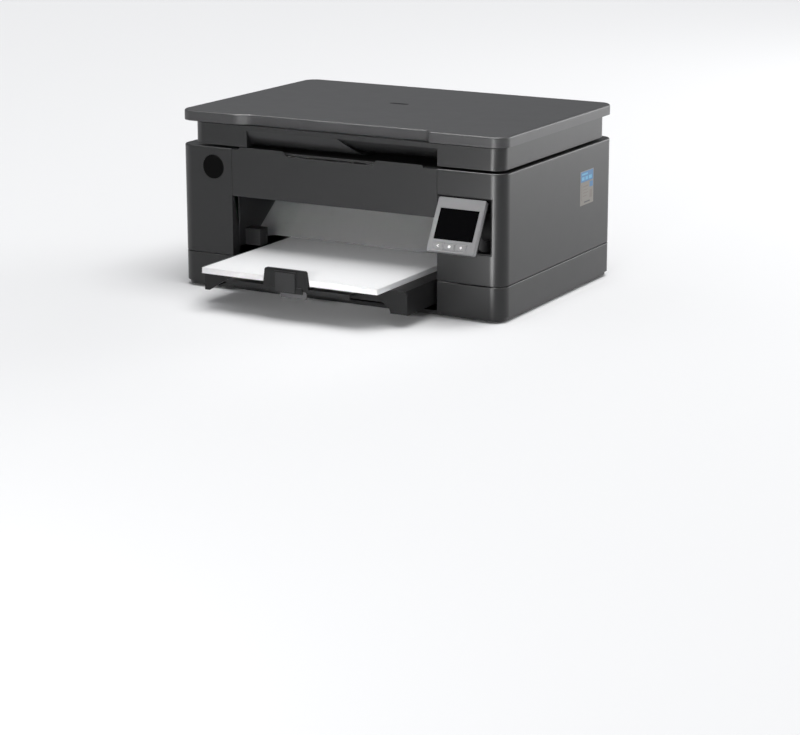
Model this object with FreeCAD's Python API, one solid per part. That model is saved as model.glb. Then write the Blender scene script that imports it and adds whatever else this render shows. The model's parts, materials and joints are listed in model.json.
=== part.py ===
import FreeCAD, Part
import math
import os

V = FreeCAD.Vector

# Inkjet printer with a flatbed scanner on top. Millimetres, +X right, +Y towards the rear, +Z up.
# The origin is under the middle of the whole object, at the surface it stands on.

# ---- driving dimensions ----
WIDTH = 392.0
DEPTH = 272.0
HEIGHT = 193.5
TRAY_REACH = 94.0            # the paper stop stands this far out past the front
CORNER = 15.6                # radius of the case's upright corners
WALL = 2.5
SEAM = 0.6                   # parting line between mouldings

HALF = WIDTH / 2
FRONT = TRAY_REACH / 2 - DEPTH / 2
REAR = FRONT + DEPTH
TIP = FRONT - TRAY_REACH

# ---- levels ----
BASE_BOTTOM = 2.0
BASE_TOP = 38.4
SHELL_BOTTOM = BASE_TOP + SEAM
SHELL_TOP = 156.0
SCAN_BOTTOM = 158.5
SCAN_TOP = 181.6
LID_BOTTOM = SCAN_TOP + SEAM
GLASS_TOP = 181.4
GLASS_THICK = 2.4

# ---- the mouth in the front, between the two columns ----
MOUTH_LEFT = -129.7
MOUTH_RIGHT = 120.1
MOUTH_TOP = 104.5
RETURN_DEPTH = 13.0          # how far the columns' return walls run back

# ---- what the case carries: (x, y) places and (x0, x1, z0, z1) openings ----
POSTS = [(-170.0, FRONT + 42.0), (-150.0, REAR - 12.0), (181.0, FRONT + 42.0), (181.0, REAR - 12.0)]
POST_R = 4.5
FOOT_PLACES = [(x, y) for x in (-168.0, 168.0) for y in (FRONT + 30.0, REAR - 30.0)]
FOOT_R = 8.0
SOCKET = (146.0, 170.0, 13.0, 33.0)
USB = (-185.0, -171.0, 55.0, 68.0)
BADGE = (-153.0, 134.4)
BADGE_R = 13.0
LABEL = (HALF - 0.2, HALF, 96.0, 130.0, 92.0, 129.5)

# ---- A4 paper stack ----
SHEET_WIDTH = 210.0
SHEET_LENGTH = 297.0
STACK_THICK = 6.0
STACK_LEFT = -109.8
STACK_BOTTOM = 39.7
STACK_TOP = STACK_BOTTOM + STACK_THICK
STACK_FRONT = TIP + 4.7
STACK_MIDDLE = STACK_LEFT + SHEET_WIDTH / 2

# ---- cassette under the paper ----
TRAY_LEFT = MOUTH_LEFT + 2.4
TRAY_RIGHT = MOUTH_RIGHT - 2.4
TRAY_FRONT = FRONT - 59.0
TRAY_REAR = 121.0
TRAY_FLOOR = 3.0
APRON_BOTTOM = 14.0
APRON_TOP = 33.0
ARCH_TOP = 25.0
EXTENSION_TOP = 36.4
EXTENSION_THICK = 2.8
EXTENSION_X = (-78.6, 68.6)
STOP_X = (-31.5, 20.0)
STOP_TOP = 55.5
STOP_BOTTOM = 31.0

# ---- the cassette's width guides: racks that face one pinion ----
PINION_R = 6.0
GUIDE_MODULE = 0.8
GUIDE_TEETH = 15
GUIDE_Y = 45.0
RACK_Z = (33.6, 36.4)
RACK_DEPTH = 4.6
RACK_TEETH = 9

# ---- paper drive: shaft centres as (y, z) ----
FEED_AXIS = (99.0, 92.0)
EXIT_AXIS = (35.0, 92.0)
IDLER_AXIS = (67.0, 92.0)
PICK_AXIS = (87.0, 58.0)
ARM_AXIS = (50.0, 70.0)
ROLLER_R = 6.0
PICK_R = 12.0
PINCH_R = 4.0
STAR_R = 5.0
ROLL_GAP = 0.3
FEED_SHAFT_R = 3.0
GEAR_TEETH = 32
PINION_TEETH = 12
MODULE = 1.0
GEAR_X = (-182.6, -177.6)
PINION_DISTANCE = (GEAR_TEETH + PINION_TEETH) * MODULE / 2
PINION_AXIS = (FEED_AXIS[0] + PINION_DISTANCE * math.sqrt(0.5),
               FEED_AXIS[1] - PINION_DISTANCE * math.sqrt(0.5))
PINCH_AXIS = (FEED_AXIS[0] + 1.0, FEED_AXIS[1] + ROLLER_R + PINCH_R + ROLL_GAP)
STAR_AXIS = (EXIT_AXIS[0], EXIT_AXIS[1] + ROLLER_R + STAR_R + ROLL_GAP)
EXIT_TYRES = [-112.0 + 34.0 * i for i in range(7)]
UTURN_AXIS = (119.0, 71.0)
UTURN_R = 24.0
RAMP_FOOT = (-13.0, 50.0)
RAMP_HEAD = (29.0, 80.5)
RAMP_BREAK = (22.0, 76.0)    # where the slope eases before the ramp's head
RAMP_CORNER = 22.0           # radius that blends the ramp into the mouth's left wall
RAMP_CORNER_FRONT = -47.4    # the blend stops here, behind the corner block

# ---- ink carriage, parked at the right ----
CARRIAGE_LEFT = 113.0
CARRIAGE_WIDTH = 74.0
RAIL_AXIS = (112.0, 120.0)
RAIL_R = 5.0
BELT_Z = 138.0
BELT_PULLEY_R = 6.0
BELT_ENDS = (-165.0, 180.0)
SLED_PILLARS = (147.0, 181.0)
CARTRIDGE_PITCH = 36.0

# ---- tilting control panel ----
PANEL_TILT = 29.0
PANEL_WIDTH = 54.2
PANEL_HEIGHT = 58.4
PANEL_THICK = 7.0
PANEL_X = 149.6
PANEL_TOP_Z = 127.8
PANEL_SKIN = 1.8
SCREEN = (-22.4, 22.4, -45.2, -11.6)
KEY_X = (-15.0, -1.8, 11.4)
KEY_Z = -52.2
KEY_HALF = (5.6, 3.3)
KEY_GAP = 0.35
WING_R = 37.0
WING_WIDTH = 11.0
WING_SWEEP = 18.0            # how far the wing stays hidden inside the recess, in degrees
RECESS = (120.3, 183.2, 71.0, 129.6)
RECESS_DEPTH = 34.0
PIVOT_DOWN = 12.0            # the panel's pivot, measured down from its top edge
PIVOT_IN = 11.0              # and in from its face
PIVOT_EAR_X = 18.0           # the pivot ears stand this far either side of the panel's middle

# ---- flatbed scanner ----
SCAN_LEFT = -179.0
SCAN_RIGHT = 194.0
SCAN_REAR = REAR - 17.0
GAP_LEFT = -110.0
GAP_RIGHT = MOUTH_RIGHT
WINDOW = (-157.0, 147.0, FRONT + 27.0, FRONT + 245.0)
BAY_FLOOR = 170.0
BAR_WIDTH = 18.0
BAR_LEFT = -153.0
SCAN_RAIL_Y = 47.0
SCAN_RACK_Y = 60.0
SCAN_PINION_TEETH = 12
SCAN_MODULE = 0.8
SCAN_PINION_R = SCAN_PINION_TEETH * SCAN_MODULE / 2
SCAN_RACK_X = (-160.0, 160.0)
SCAN_RAIL_Z = 173.4
PINION_X = BAR_LEFT + BAR_WIDTH + 6.0
GAP_TOP = 177.0
SCOOP_BOTTOM = 162.0
BAFFLE_BOTTOM = 159.6
BAFFLE_END = ((0.1, 177.5), (33.0, 156.0))     # the slanted right end of the baffle, as (x, z)
SHEET_THICK = 1.6
FRAME_BOTTOM = 178.6

# ---- lid ----
MARK_X = -8.0
MARK_Y = 61.0
MARK_R = 3.5
LID_RECESS_LEFT = (-130.0, -104.0)
LID_RECESS_RIGHT = (102.0, 113.0)
LID_RECESS_BACK = 7.0

# ---- hinges ----
LID_AXIS = (171.0, 183.0)
LID_HINGE_X = (-120.0, 120.0)
LIFT_AXIS = (167.0, 160.0)
LIFT_HINGE_X = (-150.0, 150.0)
DOOR_AXIS = (FRONT + 7.0, 108.0)
REAR_DOOR = (-119.5, 109.5, 62.5, 137.5)
REAR_DOOR_AXIS = (REAR - 2.0, 64.5)


# ---- shape helpers ----
def box(x0, x1, y0, y1, z0, z1):
    return Part.makeBox(x1 - x0, y1 - y0, z1 - z0, V(x0, y0, z0))


def rod_x(axis, radius, x0, x1):
    return Part.makeCylinder(radius, x1 - x0, V(x0, axis[0], axis[1]), V(1, 0, 0))


def rod_y(x, z, radius, y0, y1):
    return Part.makeCylinder(radius, y1 - y0, V(x, y0, z), V(0, 1, 0))


def rod_z(x, y, radius, z0, z1):
    return Part.makeCylinder(radius, z1 - z0, V(x, y, z0), V(0, 0, 1))


def prism_x(points, x0, x1):
    corners = [V(x0, y, z) for y, z in points]
    return Part.Face(Part.makePolygon(corners + corners[:1])).extrude(V(x1 - x0, 0, 0))


def prism_y(points, y0, y1):
    corners = [V(x, y0, z) for x, z in points]
    return Part.Face(Part.makePolygon(corners + corners[:1])).extrude(V(0, y1 - y0, 0))


def rounded(x0, x1, y0, y1, z0, z1, radius):
    """Upright block whose four vertical edges are rounded."""
    block = box(x0, x1, y0, y1, z0, z1)
    upright = [e for e in block.Edges if abs(e.tangentAt(e.FirstParameter).z) > 0.9]
    return block.makeFillet(radius, upright)


def edges_at_z(shape, z):
    return [e for e in shape.Edges if abs(e.BoundBox.ZMin - z) < 1e-4 and abs(e.BoundBox.ZMax - z) < 1e-4]


def soften(shape, z, radius):
    """Rounds every edge that lies flat at height z."""
    return shape.makeFillet(radius, edges_at_z(shape, z))


def case_ring(z0, z1, inset, thick):
    """Closed wall that follows the case's outline, inset from it."""
    inner = inset + thick
    outside = rounded(-HALF + inset, HALF - inset, FRONT + inset, REAR - inset, z0, z1, CORNER - inset)
    inside = rounded(-HALF + inner, HALF - inner, FRONT + inner, REAR - inner, z0 - 1, z1 + 1,
                     CORNER - inner)
    return outside.cut(inside)


def union(shapes):
    return shapes[0].multiFuse(shapes[1:]).removeSplitter()


def group(shapes):
    return Part.makeCompound(shapes)


def gear_x(axis, teeth, module, x0, x1, phase=0.0):
    """Spur gear on an X axis, its teeth thinned for backlash. phase is in teeth, from +Y."""
    pitch_r = teeth * module / 2
    root_r = pitch_r - 1.2 * module
    tip_r = pitch_r + 0.85 * module
    points = []
    for i in range(teeth):
        middle = 2 * math.pi * (i + phase) / teeth
        for r, half in ((root_r, 0.82), (pitch_r, 0.68), (tip_r, 0.34)):
            points.append((r, middle - half * module / r))
        for r, half in ((tip_r, 0.34), (pitch_r, 0.68), (root_r, 0.82)):
            points.append((r, middle + half * module / r))
    corners = [(axis[0] + r * math.cos(a), axis[1] + r * math.sin(a)) for r, a in points]
    return prism_x(corners, x0, x1)


def gear_z(x, y, teeth, module, z0, z1, phase=0.0):
    """The same gear on an upright axis. phase is in teeth, from +X."""
    flat = gear_x((0, 0), teeth, module, 0, z1 - z0, phase)
    flat.rotate(V(0, 0, 0), V(0, 1, 0), -90)
    flat.rotate(V(0, 0, 0), V(0, 0, 1), -90)
    flat.translate(V(x, y, z0))
    return flat


def rack_x(x0, teeth, module, y_pitch, side, depth, z0, z1):
    """Straight rack along X. side is the direction, +1 or -1 in Y, that its teeth point."""
    step = math.pi * module
    back = sorted((y_pitch - side * depth, y_pitch - side * 1.2 * module))
    shapes = [box(x0, x0 + teeth * step, *back, z0, z1)]
    for i in range(teeth):
        middle = x0 + (i + 0.5) * step
        root = y_pitch - side * 1.3 * module
        tip = y_pitch + side * 0.8 * module
        corners = [(middle - 0.8 * module, root), (middle - 0.36 * module, tip),
                   (middle + 0.36 * module, tip), (middle + 0.8 * module, root)]
        points = [V(x, y, z0) for x, y in corners]
        shapes.append(Part.Face(Part.makePolygon(points + points[:1])).extrude(V(0, 0, z1 - z0)))
    return union(shapes)


# ---- case: lower moulding, upper moulding and what is fixed to them ----
def base_case():
    wall = 4.5
    floor_top = BASE_BOTTOM + WALL
    step = 2.5
    plinth = rounded(-HALF + step, HALF - step, FRONT + step, REAR - step, BASE_BOTTOM, 6.0, CORNER - step)
    outer = union([rounded(-HALF, HALF, FRONT, REAR, 6.0, BASE_TOP, CORNER), plinth])
    outer = soften(outer, BASE_TOP, 0.8)
    hollow = rounded(-HALF + wall, HALF - wall, FRONT + wall, REAR - wall, floor_top, BASE_TOP + 5,
                     CORNER - wall)
    shell = outer.cut(hollow)
    low, high = floor_top - 0.5, BASE_TOP - 0.8
    bay_walls = [box(MOUTH_LEFT - 3.0, MOUTH_LEFT, FRONT + 1.0, REAR - wall, low, high),
                 box(MOUTH_RIGHT, MOUTH_RIGHT + 3.0, FRONT + 1.0, REAR - wall, low, high)]
    posts = [rod_z(x, y, POST_R, floor_top - 0.5, BASE_TOP) for x, y in POSTS]
    tongue = case_ring(BASE_TOP - 3.0, BASE_TOP + 4.0, WALL + 0.2, 2.4)
    tongue_gap = box(MOUTH_LEFT - 4, MOUTH_RIGHT + 4, FRONT - 1, FRONT + 9, BASE_TOP - 4, BASE_TOP + 5)
    tongue = tongue.cut(tongue_gap)
    shell = union([shell, tongue] + bay_walls + posts)
    cuts = [box(MOUTH_LEFT, MOUTH_RIGHT, FRONT - 1, FRONT + 9, 7.0, BASE_TOP + 5),
            box(SOCKET[0], SOCKET[1], REAR - 8, REAR + 1, SOCKET[2], SOCKET[3])]
    for x, y in POSTS:
        cuts.append(rod_z(x, y, 1.8, 0, BASE_TOP + 5))
        cuts.append(rod_z(x, y, 3.6, 0, 9.0))
    return shell.cut(group(cuts))


def body_shell():
    outer = rounded(-HALF, HALF, FRONT, REAR, SHELL_BOTTOM, SHELL_TOP, CORNER)
    outer = soften(soften(outer, SHELL_TOP, 1.6), SHELL_BOTTOM, 0.8)
    inside = rounded(-HALF + WALL, HALF - WALL, FRONT + WALL, REAR - WALL,
                     SHELL_BOTTOM - 1, SHELL_TOP - WALL, CORNER - WALL)
    shell = outer.cut(inside)
    opening = box(MOUTH_LEFT, MOUTH_RIGHT, FRONT - 1, FRONT + WALL + 0.6, SHELL_BOTTOM - 1, SHELL_TOP + 1)
    carriage_hatch = rounded(-150.0, 176.0, 20.0, 112.0, SHELL_TOP - WALL - 1, SHELL_TOP + 1, 6.0)
    shell = shell.cut(group([opening, carriage_hatch]))
    deep = FRONT + RETURN_DEPTH
    profile = [(FRONT + 1.6, SHELL_BOTTOM), (deep, SHELL_BOTTOM), (deep, 71.0), (FRONT + 8.0, 84.0),
               (FRONT + 4.5, MOUTH_TOP), (deep, MOUTH_TOP), (deep, SHELL_TOP - 1.0),
               (FRONT + 1.6, SHELL_TOP - 1.0)]
    returns = [prism_x(profile, MOUTH_LEFT - WALL, MOUTH_LEFT),
               prism_x(profile, MOUTH_RIGHT, MOUTH_RIGHT + WALL)]
    posts = [rod_z(x, y, POST_R, SHELL_BOTTOM, SHELL_TOP - 1) for x, y in POSTS]
    ears = []
    for x in LIFT_HINGE_X:
        ears.append(rod_x(LIFT_AXIS, 3.7, x - 4, x + 4))
        ears.append(box(x - 4, x + 4, LIFT_AXIS[0] - 3.7, LIFT_AXIS[0] + 3.7, SHELL_TOP - 1, LIFT_AXIS[1]))
    shell = union([shell] + returns + posts + ears)
    cuts = [box(MOUTH_RIGHT - 1, RECESS[1] + 0.2, FRONT - 1, FRONT + RETURN_DEPTH + 1,
                RECESS[2] - 0.2, RECESS[3] + 0.2),
            box(*LABEL),
            rod_y(BADGE[0], BADGE[1], BADGE_R + 0.2, FRONT - 1, FRONT + 1.0),
            rod_x(DOOR_AXIS, 2.05, MOUTH_LEFT - 4, MOUTH_LEFT + 1),
            box(REAR_DOOR[0] - 0.6, REAR_DOOR[1] + 0.6, REAR - 6, REAR + 1, 61.4, REAR_DOOR[3] + 0.6),
            box(USB[0], USB[1], REAR - 6, REAR + 1, USB[2], USB[3])]
    cuts += [rod_z(x, y, 1.55, SHELL_BOTTOM - 1, 62.0) for x, y in POSTS]
    cuts += [rod_x(LIFT_AXIS, 2.05, x - 6, x + 6) for x in LIFT_HINGE_X]
    return shell.cut(group(cuts))


def front_badge():
    disc = rod_y(BADGE[0], BADGE[1], BADGE_R, FRONT - 0.5, FRONT + 1.0)
    rim = [e for e in disc.Edges if abs(e.BoundBox.YMax - FRONT + 0.5) < 1e-4]
    return disc.makeFillet(0.4, rim)


def side_label():
    return box(*LABEL)


def panel_recess():
    x0, x1, z0, z1 = RECESS
    back = FRONT + RECESS_DEPTH
    tub = box(x0, x1, FRONT + 0.4, back, z0, z1)
    tub = tub.cut(box(x0 + 1.2, x1 - 1.6, FRONT - 1, back - 1.6, z0 + 1.6, z1 - 0.8))
    ears = []
    for x in (PANEL_X - PIVOT_EAR_X + 2.6, PANEL_X + PIVOT_EAR_X - 6.2):
        ears.append(rod_x(PANEL_PIVOT, 3.0, x, x + 3.6))
        ears.append(box(x, x + 3.6, PANEL_PIVOT[0], back - 1.0, PANEL_PIVOT[1] - 3.0, PANEL_PIVOT[1] + 3.0))
    tub = union([tub] + ears)
    return tub.cut(group([rod_x(PANEL_PIVOT, 1.55, x0 + 5, x1 - 5), rod_x(DOOR_AXIS, 2.05, x0 - 1, x0 + 2)]))


def mouth_liner():
    back = 12.0
    start = FRONT + RETURN_DEPTH + 0.3
    behind_recess = FRONT + RECESS_DEPTH + 0.6
    low = STACK_TOP + 1.1
    top = MOUTH_TOP + 1.6
    walls = [box(MOUTH_LEFT - 1.8, MOUTH_LEFT, start, back, low, top),
             box(MOUTH_RIGHT, MOUTH_RIGHT + 1.8, start, back, low, RECESS[2] - 0.6),
             box(MOUTH_RIGHT, MOUTH_RIGHT + 1.8, behind_recess, back, low, top),
             box(MOUTH_LEFT - 1.8, MOUTH_RIGHT, start, back, MOUTH_TOP, top)]
    block = box(MOUTH_LEFT - 1.8, STACK_LEFT - 1.6, -63.6, -48.0, low, 65.0)
    block = block.cut(box(MOUTH_LEFT, STACK_LEFT - 3.2, -62.0, -49.6, low - 1, 63.4))
    return union(walls + [block])


def exit_ramp():
    """Sloping sheet that the printed pages slide down, blended into the mouth's left wall."""
    y0, z0 = RAMP_FOOT
    y1, z1 = RAMP_BREAK
    y2, z2 = RAMP_HEAD
    x0 = MOUTH_LEFT + 0.3
    slope = [(y0, z0), (y1, z1), (y2, z2), (y2, z2 - 1.9), (y1 + 0.8, z1 - 1.8), (y0 + 1.0, z0 - 1.6),
             (y0 - 0.5, z0 - 1.6)]
    sheet = prism_x(slope, x0, MOUTH_RIGHT - 0.3)
    ribs = []
    for i in range(7):
        x = MOUTH_LEFT + 20.0 + i * 35.0
        ribs.append(prism_x([(0.0, 58.5), (29.0, 79.5), (29.0, 73.0), (4.0, 56.0)], x, x + 1.8))
    length = math.hypot(y1 - y0, z1 - z0)
    slope_angle = math.atan2(z1 - z0, y1 - y0)
    ahead = RAMP_CORNER / math.tan(slope_angle) + 2.0
    corner = box(0, RAMP_CORNER, -ahead, length, -0.4, RAMP_CORNER)
    corner = corner.cut(rod_y(RAMP_CORNER, RAMP_CORNER, RAMP_CORNER, -ahead - 1, length + 1))
    corner.rotate(V(0, 0, 0), V(1, 0, 0), math.degrees(slope_angle))
    corner.translate(V(x0, y0, z0))
    below = box(x0 - 1, x0 + RAMP_CORNER + 1, -150.0, 100.0, 0.0, z0)
    before = box(x0 - 1, x0 + RAMP_CORNER + 1, -150.0, RAMP_CORNER_FRONT, 0.0, 150.0)
    corner = corner.cut(group([below.cut(sheet), before]))
    return union([sheet, corner] + ribs)


def chassis():
    beam = box(-176.0, 191.4, 120.0, 122.0, 104.0, 150.0)
    flange = box(-176.0, 191.4, 100.0, 122.0, 148.0, 150.0)
    left = box(-176.0, -174.0, 18.0, 122.0, 44.0, 150.0)
    right = box(189.4, 191.4, 18.0, 122.0, 60.0, 150.0)
    legs = box(-176.0, -150.0, 18.0, 122.0, 42.5, 44.0)
    frame = union([beam, flange, left, right, legs, pinch_holder()])
    holes = [rod_x(FEED_AXIS, FEED_SHAFT_R + 0.1, -180, -170),
             rod_x(EXIT_AXIS, FEED_SHAFT_R + 0.1, -180, -170),
             rod_x(IDLER_AXIS, 2.0, -180, -170), rod_x(PINION_AXIS, 4.0, -180, -170),
             rod_x(RAIL_AXIS, RAIL_R, -180, 200),
             rod_y(BELT_ENDS[0], BELT_Z, 3.0, 118, 124), rod_y(BELT_ENDS[1], BELT_Z, 2.0, 118, 124)]
    for i in range(8):
        holes.append(box(-140.0 + i * 38.0, -122.0 + i * 38.0, 118, 124, 108.0, 126.0))
    return frame.cut(group(holes))


def guide_rail():
    return rod_x(RAIL_AXIS, RAIL_R, -178.0, 192.8)


def platen():
    plate = box(-128.0, 118.0, 43.0, 91.0, 93.5, 96.0)
    ribs = [box(-120.0 + i * 17.0, -118.8 + i * 17.0, 44.0, 90.0, 95.5, 98.0) for i in range(15)]
    stand = [box(x, x + 3.0, 29.6, 108.0, 76.0, 96.0) for x in (-131.0, 118.0)]
    cheeks = [box(x, x + 3.0, 22.0, 38.0, 94.0, 103.5) for x in (-131.0, 118.0)]
    frame = union([plate, star_holder()] + ribs + stand + cheeks)
    holes = [rod_x(a, FEED_SHAFT_R + 0.1, -140, 130) for a in (FEED_AXIS, EXIT_AXIS)]
    return frame.cut(group(holes))


def uturn_guide():
    outside = rod_x(UTURN_AXIS, UTURN_R, -122.0, 112.0)
    inside = rod_x(UTURN_AXIS, UTURN_R - 2.0, -123.0, 113.0)
    keep = box(-123.0, 113.0, UTURN_AXIS[0], 160.0, 40.0, 110.0)
    top = UTURN_AXIS[1] + UTURN_R
    bridge = box(-122.0, 112.0, 107.0, UTURN_AXIS[0] + 1, top - 2.0, top)
    ribs = [box(x, x + 2.0, UTURN_AXIS[0], UTURN_AXIS[0] + 23.0, 66.0, 76.0)
            for x in (-121.0, -43.0, 33.0, 109.0)]
    return union([outside.cut(inside).common(keep), bridge] + ribs)


def feed_motor():
    can = rod_x(PINION_AXIS, 13.0, -173.8, -150.0)
    shaft = rod_x(PINION_AXIS, 1.5, -183.0, -150.5)
    boss = rod_x(PINION_AXIS, 3.8, -175.8, -173.0)
    return union([can, boss, shaft])


def carriage_motor():
    can = rod_y(BELT_ENDS[0], BELT_Z, 10.5, 122.2, 150.0)
    shaft = rod_y(BELT_ENDS[0], BELT_Z, 1.5, 111.0, 123.0)
    return union([can, shaft])


def carriage_belt():
    outer_r = BELT_PULLEY_R + 1.2
    x0, x1 = BELT_ENDS
    outside = union([rod_y(x0, BELT_Z, outer_r, 112, 117), rod_y(x1, BELT_Z, outer_r, 112, 117),
                     box(x0, x1, 112, 117, BELT_Z - outer_r, BELT_Z + outer_r)])
    inner_r = BELT_PULLEY_R + 0.3
    inside = union([rod_y(x0, BELT_Z, inner_r, 111, 118), rod_y(x1, BELT_Z, inner_r, 111, 118),
                    box(x0, x1, 111, 118, BELT_Z - inner_r, BELT_Z + inner_r)])
    return outside.cut(inside)


def belt_pulley(x, bore):
    wheel = rod_y(x, BELT_Z, BELT_PULLEY_R, 111.5, 117.5)
    rim = BELT_PULLEY_R + 1.8
    flanges = [rod_y(x, BELT_Z, rim, 110.6, 111.5), rod_y(x, BELT_Z, rim, 117.5, 118.4)]
    spokes = [rod_y(x + 3.7 * math.cos(a), BELT_Z + 3.7 * math.sin(a), 1.1, 110, 119)
              for a in [math.pi * k / 2.5 for k in range(5)]]
    return union([wheel] + flanges).cut(group([rod_y(x, BELT_Z, bore, 110, 119)] + spokes))


def service_station():
    tub = box(121.4, 187.4, 40.0, 94.0, 60.0, 88.0)
    well = box(122.8, 185.8, 42.0, 92.0, 64.0, 89.0)
    tub = tub.cut(well)
    pillars = [rod_z(x, 67.0, 3.0, 62.0, 90.0) for x in SLED_PILLARS]
    return union([tub] + pillars)


def waste_ink_pad():
    return rounded(126.0, 188.0, -10.0, 110.0, 5.0, 25.0, 4.0)


def main_board():
    board = box(-186.0, -184.4, -40.0, 176.0, 48.0, 140.0)
    chips = [box(-184.5, -183.4, 0.0, 24.0, 96.0, 120.0), box(-184.5, -183.2, 40.0, 54.0, 100.0, 112.0),
             box(-184.5, -183.2, -28.0, -14.0, 60.0, 74.0)]
    stands = [rod_x((y, z), 2.5, -193.5, -186.0) for y in (-30.0, 150.0) for z in (58.0, 132.0)]
    return union([board, usb_socket()] + chips + stands)


def power_supply():
    brick = rounded(128.0, 188.0, 114.0, 156.0, 8.0, 66.0, 3.0)
    slots = [box(133.0, 183.0, 113.0, 116.0, 16.0 + i * 7.0, 18.5 + i * 7.0) for i in range(6)]
    legs = [rod_z(x, y, 3.0, 4.5, 8.5) for x in (134.0, 182.0) for y in (120.0, 150.0)]
    return union([brick.cut(group(slots))] + legs)


def power_inlet():
    x0, x1, z0, z1 = SOCKET
    body = box(x0 + 0.2, x1 - 0.2, REAR - 22.0, REAR - 1.0, z0 + 0.2, z1 - 0.2)
    x, z = (x0 + x1) / 2, (z0 + z1) / 2
    pitch = 4.3
    deep = REAR - 15.0
    mouth = union([rod_y(x - pitch, z, 4.0, deep, REAR), rod_y(x + pitch, z, 4.0, deep, REAR),
                   box(x - pitch, x + pitch, deep, REAR, z - 3.0, z + 3.0)])
    pins = [rod_y(x + s * pitch, z, 1.2, deep - 1, REAR - 4.5) for s in (-1, 1)]
    return union([body.cut(mouth)] + pins)


def usb_socket():
    x0, x1, z0, z1 = USB
    body = box(x0 + 0.6, x1 - 0.5, 165.2, REAR - 0.8, z0 + 0.4, z1 - 0.4)
    mouth = box(x0 + 2.2, x1 - 2.0, 172.0, REAR, z0 + 1.8, z1 - 1.8)
    tongue = box(x0 + 4.4, x1 - 4.2, 171.0, REAR - 2.5, z0 + 4.6, z1 - 4.6)
    return union([body.cut(mouth), tongue])


def feet():
    return group([rod_z(x, y, FOOT_R, 0.0, BASE_BOTTOM) for x, y in FOOT_PLACES])


def case_screws():
    screws = []
    for x, y in POSTS:
        head = rod_z(x, y, 3.2, 6.6, 9.0).cut(box(x - 0.5, x + 0.5, y - 2.2, y + 2.2, 6.0, 7.4))
        screws.append(union([head, rod_z(x, y, 1.5, 8.9, 58.0)]))
    return group(screws)


# ---- front door, hinged along its lower edge ----
def front_door():
    x0, x1 = MOUTH_LEFT + 0.4, MOUTH_RIGHT - 0.4
    z0, top, lip, dip = MOUTH_TOP + 0.4, 155.4, 158.2, 152.8
    rim_top = 143.0
    outline = [(x0, z0), (x1, z0), (x1, top), (104.0, top), (102.0, lip), (48.0, lip), (44.0, dip),
               (-60.0, dip), (-66.0, lip), (-119.0, lip), (-121.0, top), (x0, top)]
    plate = prism_y(outline, FRONT, FRONT + WALL)
    rim = [box(x0 + 2, x1 - 2, FRONT + 2, FRONT + 8, z0, z0 + 2),
           box(x0 + 2, x1 - 2, FRONT + 2, FRONT + 8, rim_top - 2.0, rim_top)]
    for x in (x0 + 2, -60.0, -5.0, 50.0, x1 - 4):
        rim.append(box(x, x + 2.0, FRONT + 2, FRONT + 8, z0, rim_top))
    lugs = [box(x0, x0 + 4.0, FRONT + 2, FRONT + 10.0, z0 + 0.2, DOOR_AXIS[1] + 3.0),
            box(x1 - 4.0, x1, FRONT + 2, FRONT + 10.0, z0 + 0.2, DOOR_AXIS[1] + 3.0)]
    pins = [rod_x(DOOR_AXIS, 2.0, x0 - 2.4, x0 + 1), rod_x(DOOR_AXIS, 2.0, x1 - 1, x1 + 1.7)]
    return union([plate] + rim + lugs + pins)


# ---- rear access door with the outer paper guides ----
def rear_door():
    x0, x1, z0, z1 = REAR_DOOR
    plate = box(x0, x1, REAR - WALL, REAR, z0, z1)
    grip = box(-30.0, 20.0, REAR - 1.2, REAR + 1, z1 - 14.0, z1 - 4.0)
    plate = plate.cut(grip)
    ribs = []
    outer_r = UTURN_R + 3.0
    for i in range(9):
        x = x0 + 8.0 + i * 26.0
        ribs.append(box(x, x + 2.0, UTURN_AXIS[0] + 3.0, REAR - WALL + 0.5, z0 + 2.0, 99.0))
    ribs = group(ribs).cut(rod_x(UTURN_AXIS, outer_r, x0, x1))
    pins = [rod_x(REAR_DOOR_AXIS, 1.4, x0 - 0.6, x0 + 2), rod_x(REAR_DOOR_AXIS, 1.4, x1 - 2, x1 + 0.6)]
    return union([plate] + list(ribs.Solids) + pins)


# ---- control panel: built upright with its face at y = 0 and its top edge at z = 0 ----
def tilt(shape):
    """Moves a panel piece from its upright workplace to its tilted place on the case."""
    shape.rotate(V(0, 0, 0), V(1, 0, 0), -PANEL_TILT)
    shape.translate(V(PANEL_X, FRONT, PANEL_TOP_Z))
    return shape


def tilted_point(y, z):
    a = math.radians(-PANEL_TILT)
    return (FRONT + y * math.cos(a) - z * math.sin(a), PANEL_TOP_Z + y * math.sin(a) + z * math.cos(a))


PANEL_PIVOT = tilted_point(PIVOT_IN, -PIVOT_DOWN)


def panel_bezel():
    w = PANEL_WIDTH / 2
    face = box(-w, w, 0.0, PANEL_THICK - 1.6, -PANEL_HEIGHT, 0.0)
    along_y = [e for e in face.Edges if abs(e.tangentAt(e.FirstParameter).y) > 0.9]
    face = face.makeFillet(1.6, along_y)
    front = [e for e in face.Edges if e.BoundBox.YMax < 1e-4]
    face = face.makeFillet(0.6, front)
    cuts = [box(-w + 1.6, w - 1.6, PANEL_SKIN, PANEL_THICK, -PANEL_HEIGHT + 1.6, -1.6),
            box(SCREEN[0], SCREEN[1], -1, PANEL_SKIN + 1, SCREEN[2], SCREEN[3])]
    for x in KEY_X:
        cuts.append(box(x - KEY_HALF[0] - KEY_GAP, x + KEY_HALF[0] + KEY_GAP, -1, PANEL_SKIN + 1,
                        KEY_Z - KEY_HALF[1] - KEY_GAP, KEY_Z + KEY_HALF[1] + KEY_GAP))
    return tilt(face.cut(group(cuts)))


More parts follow.
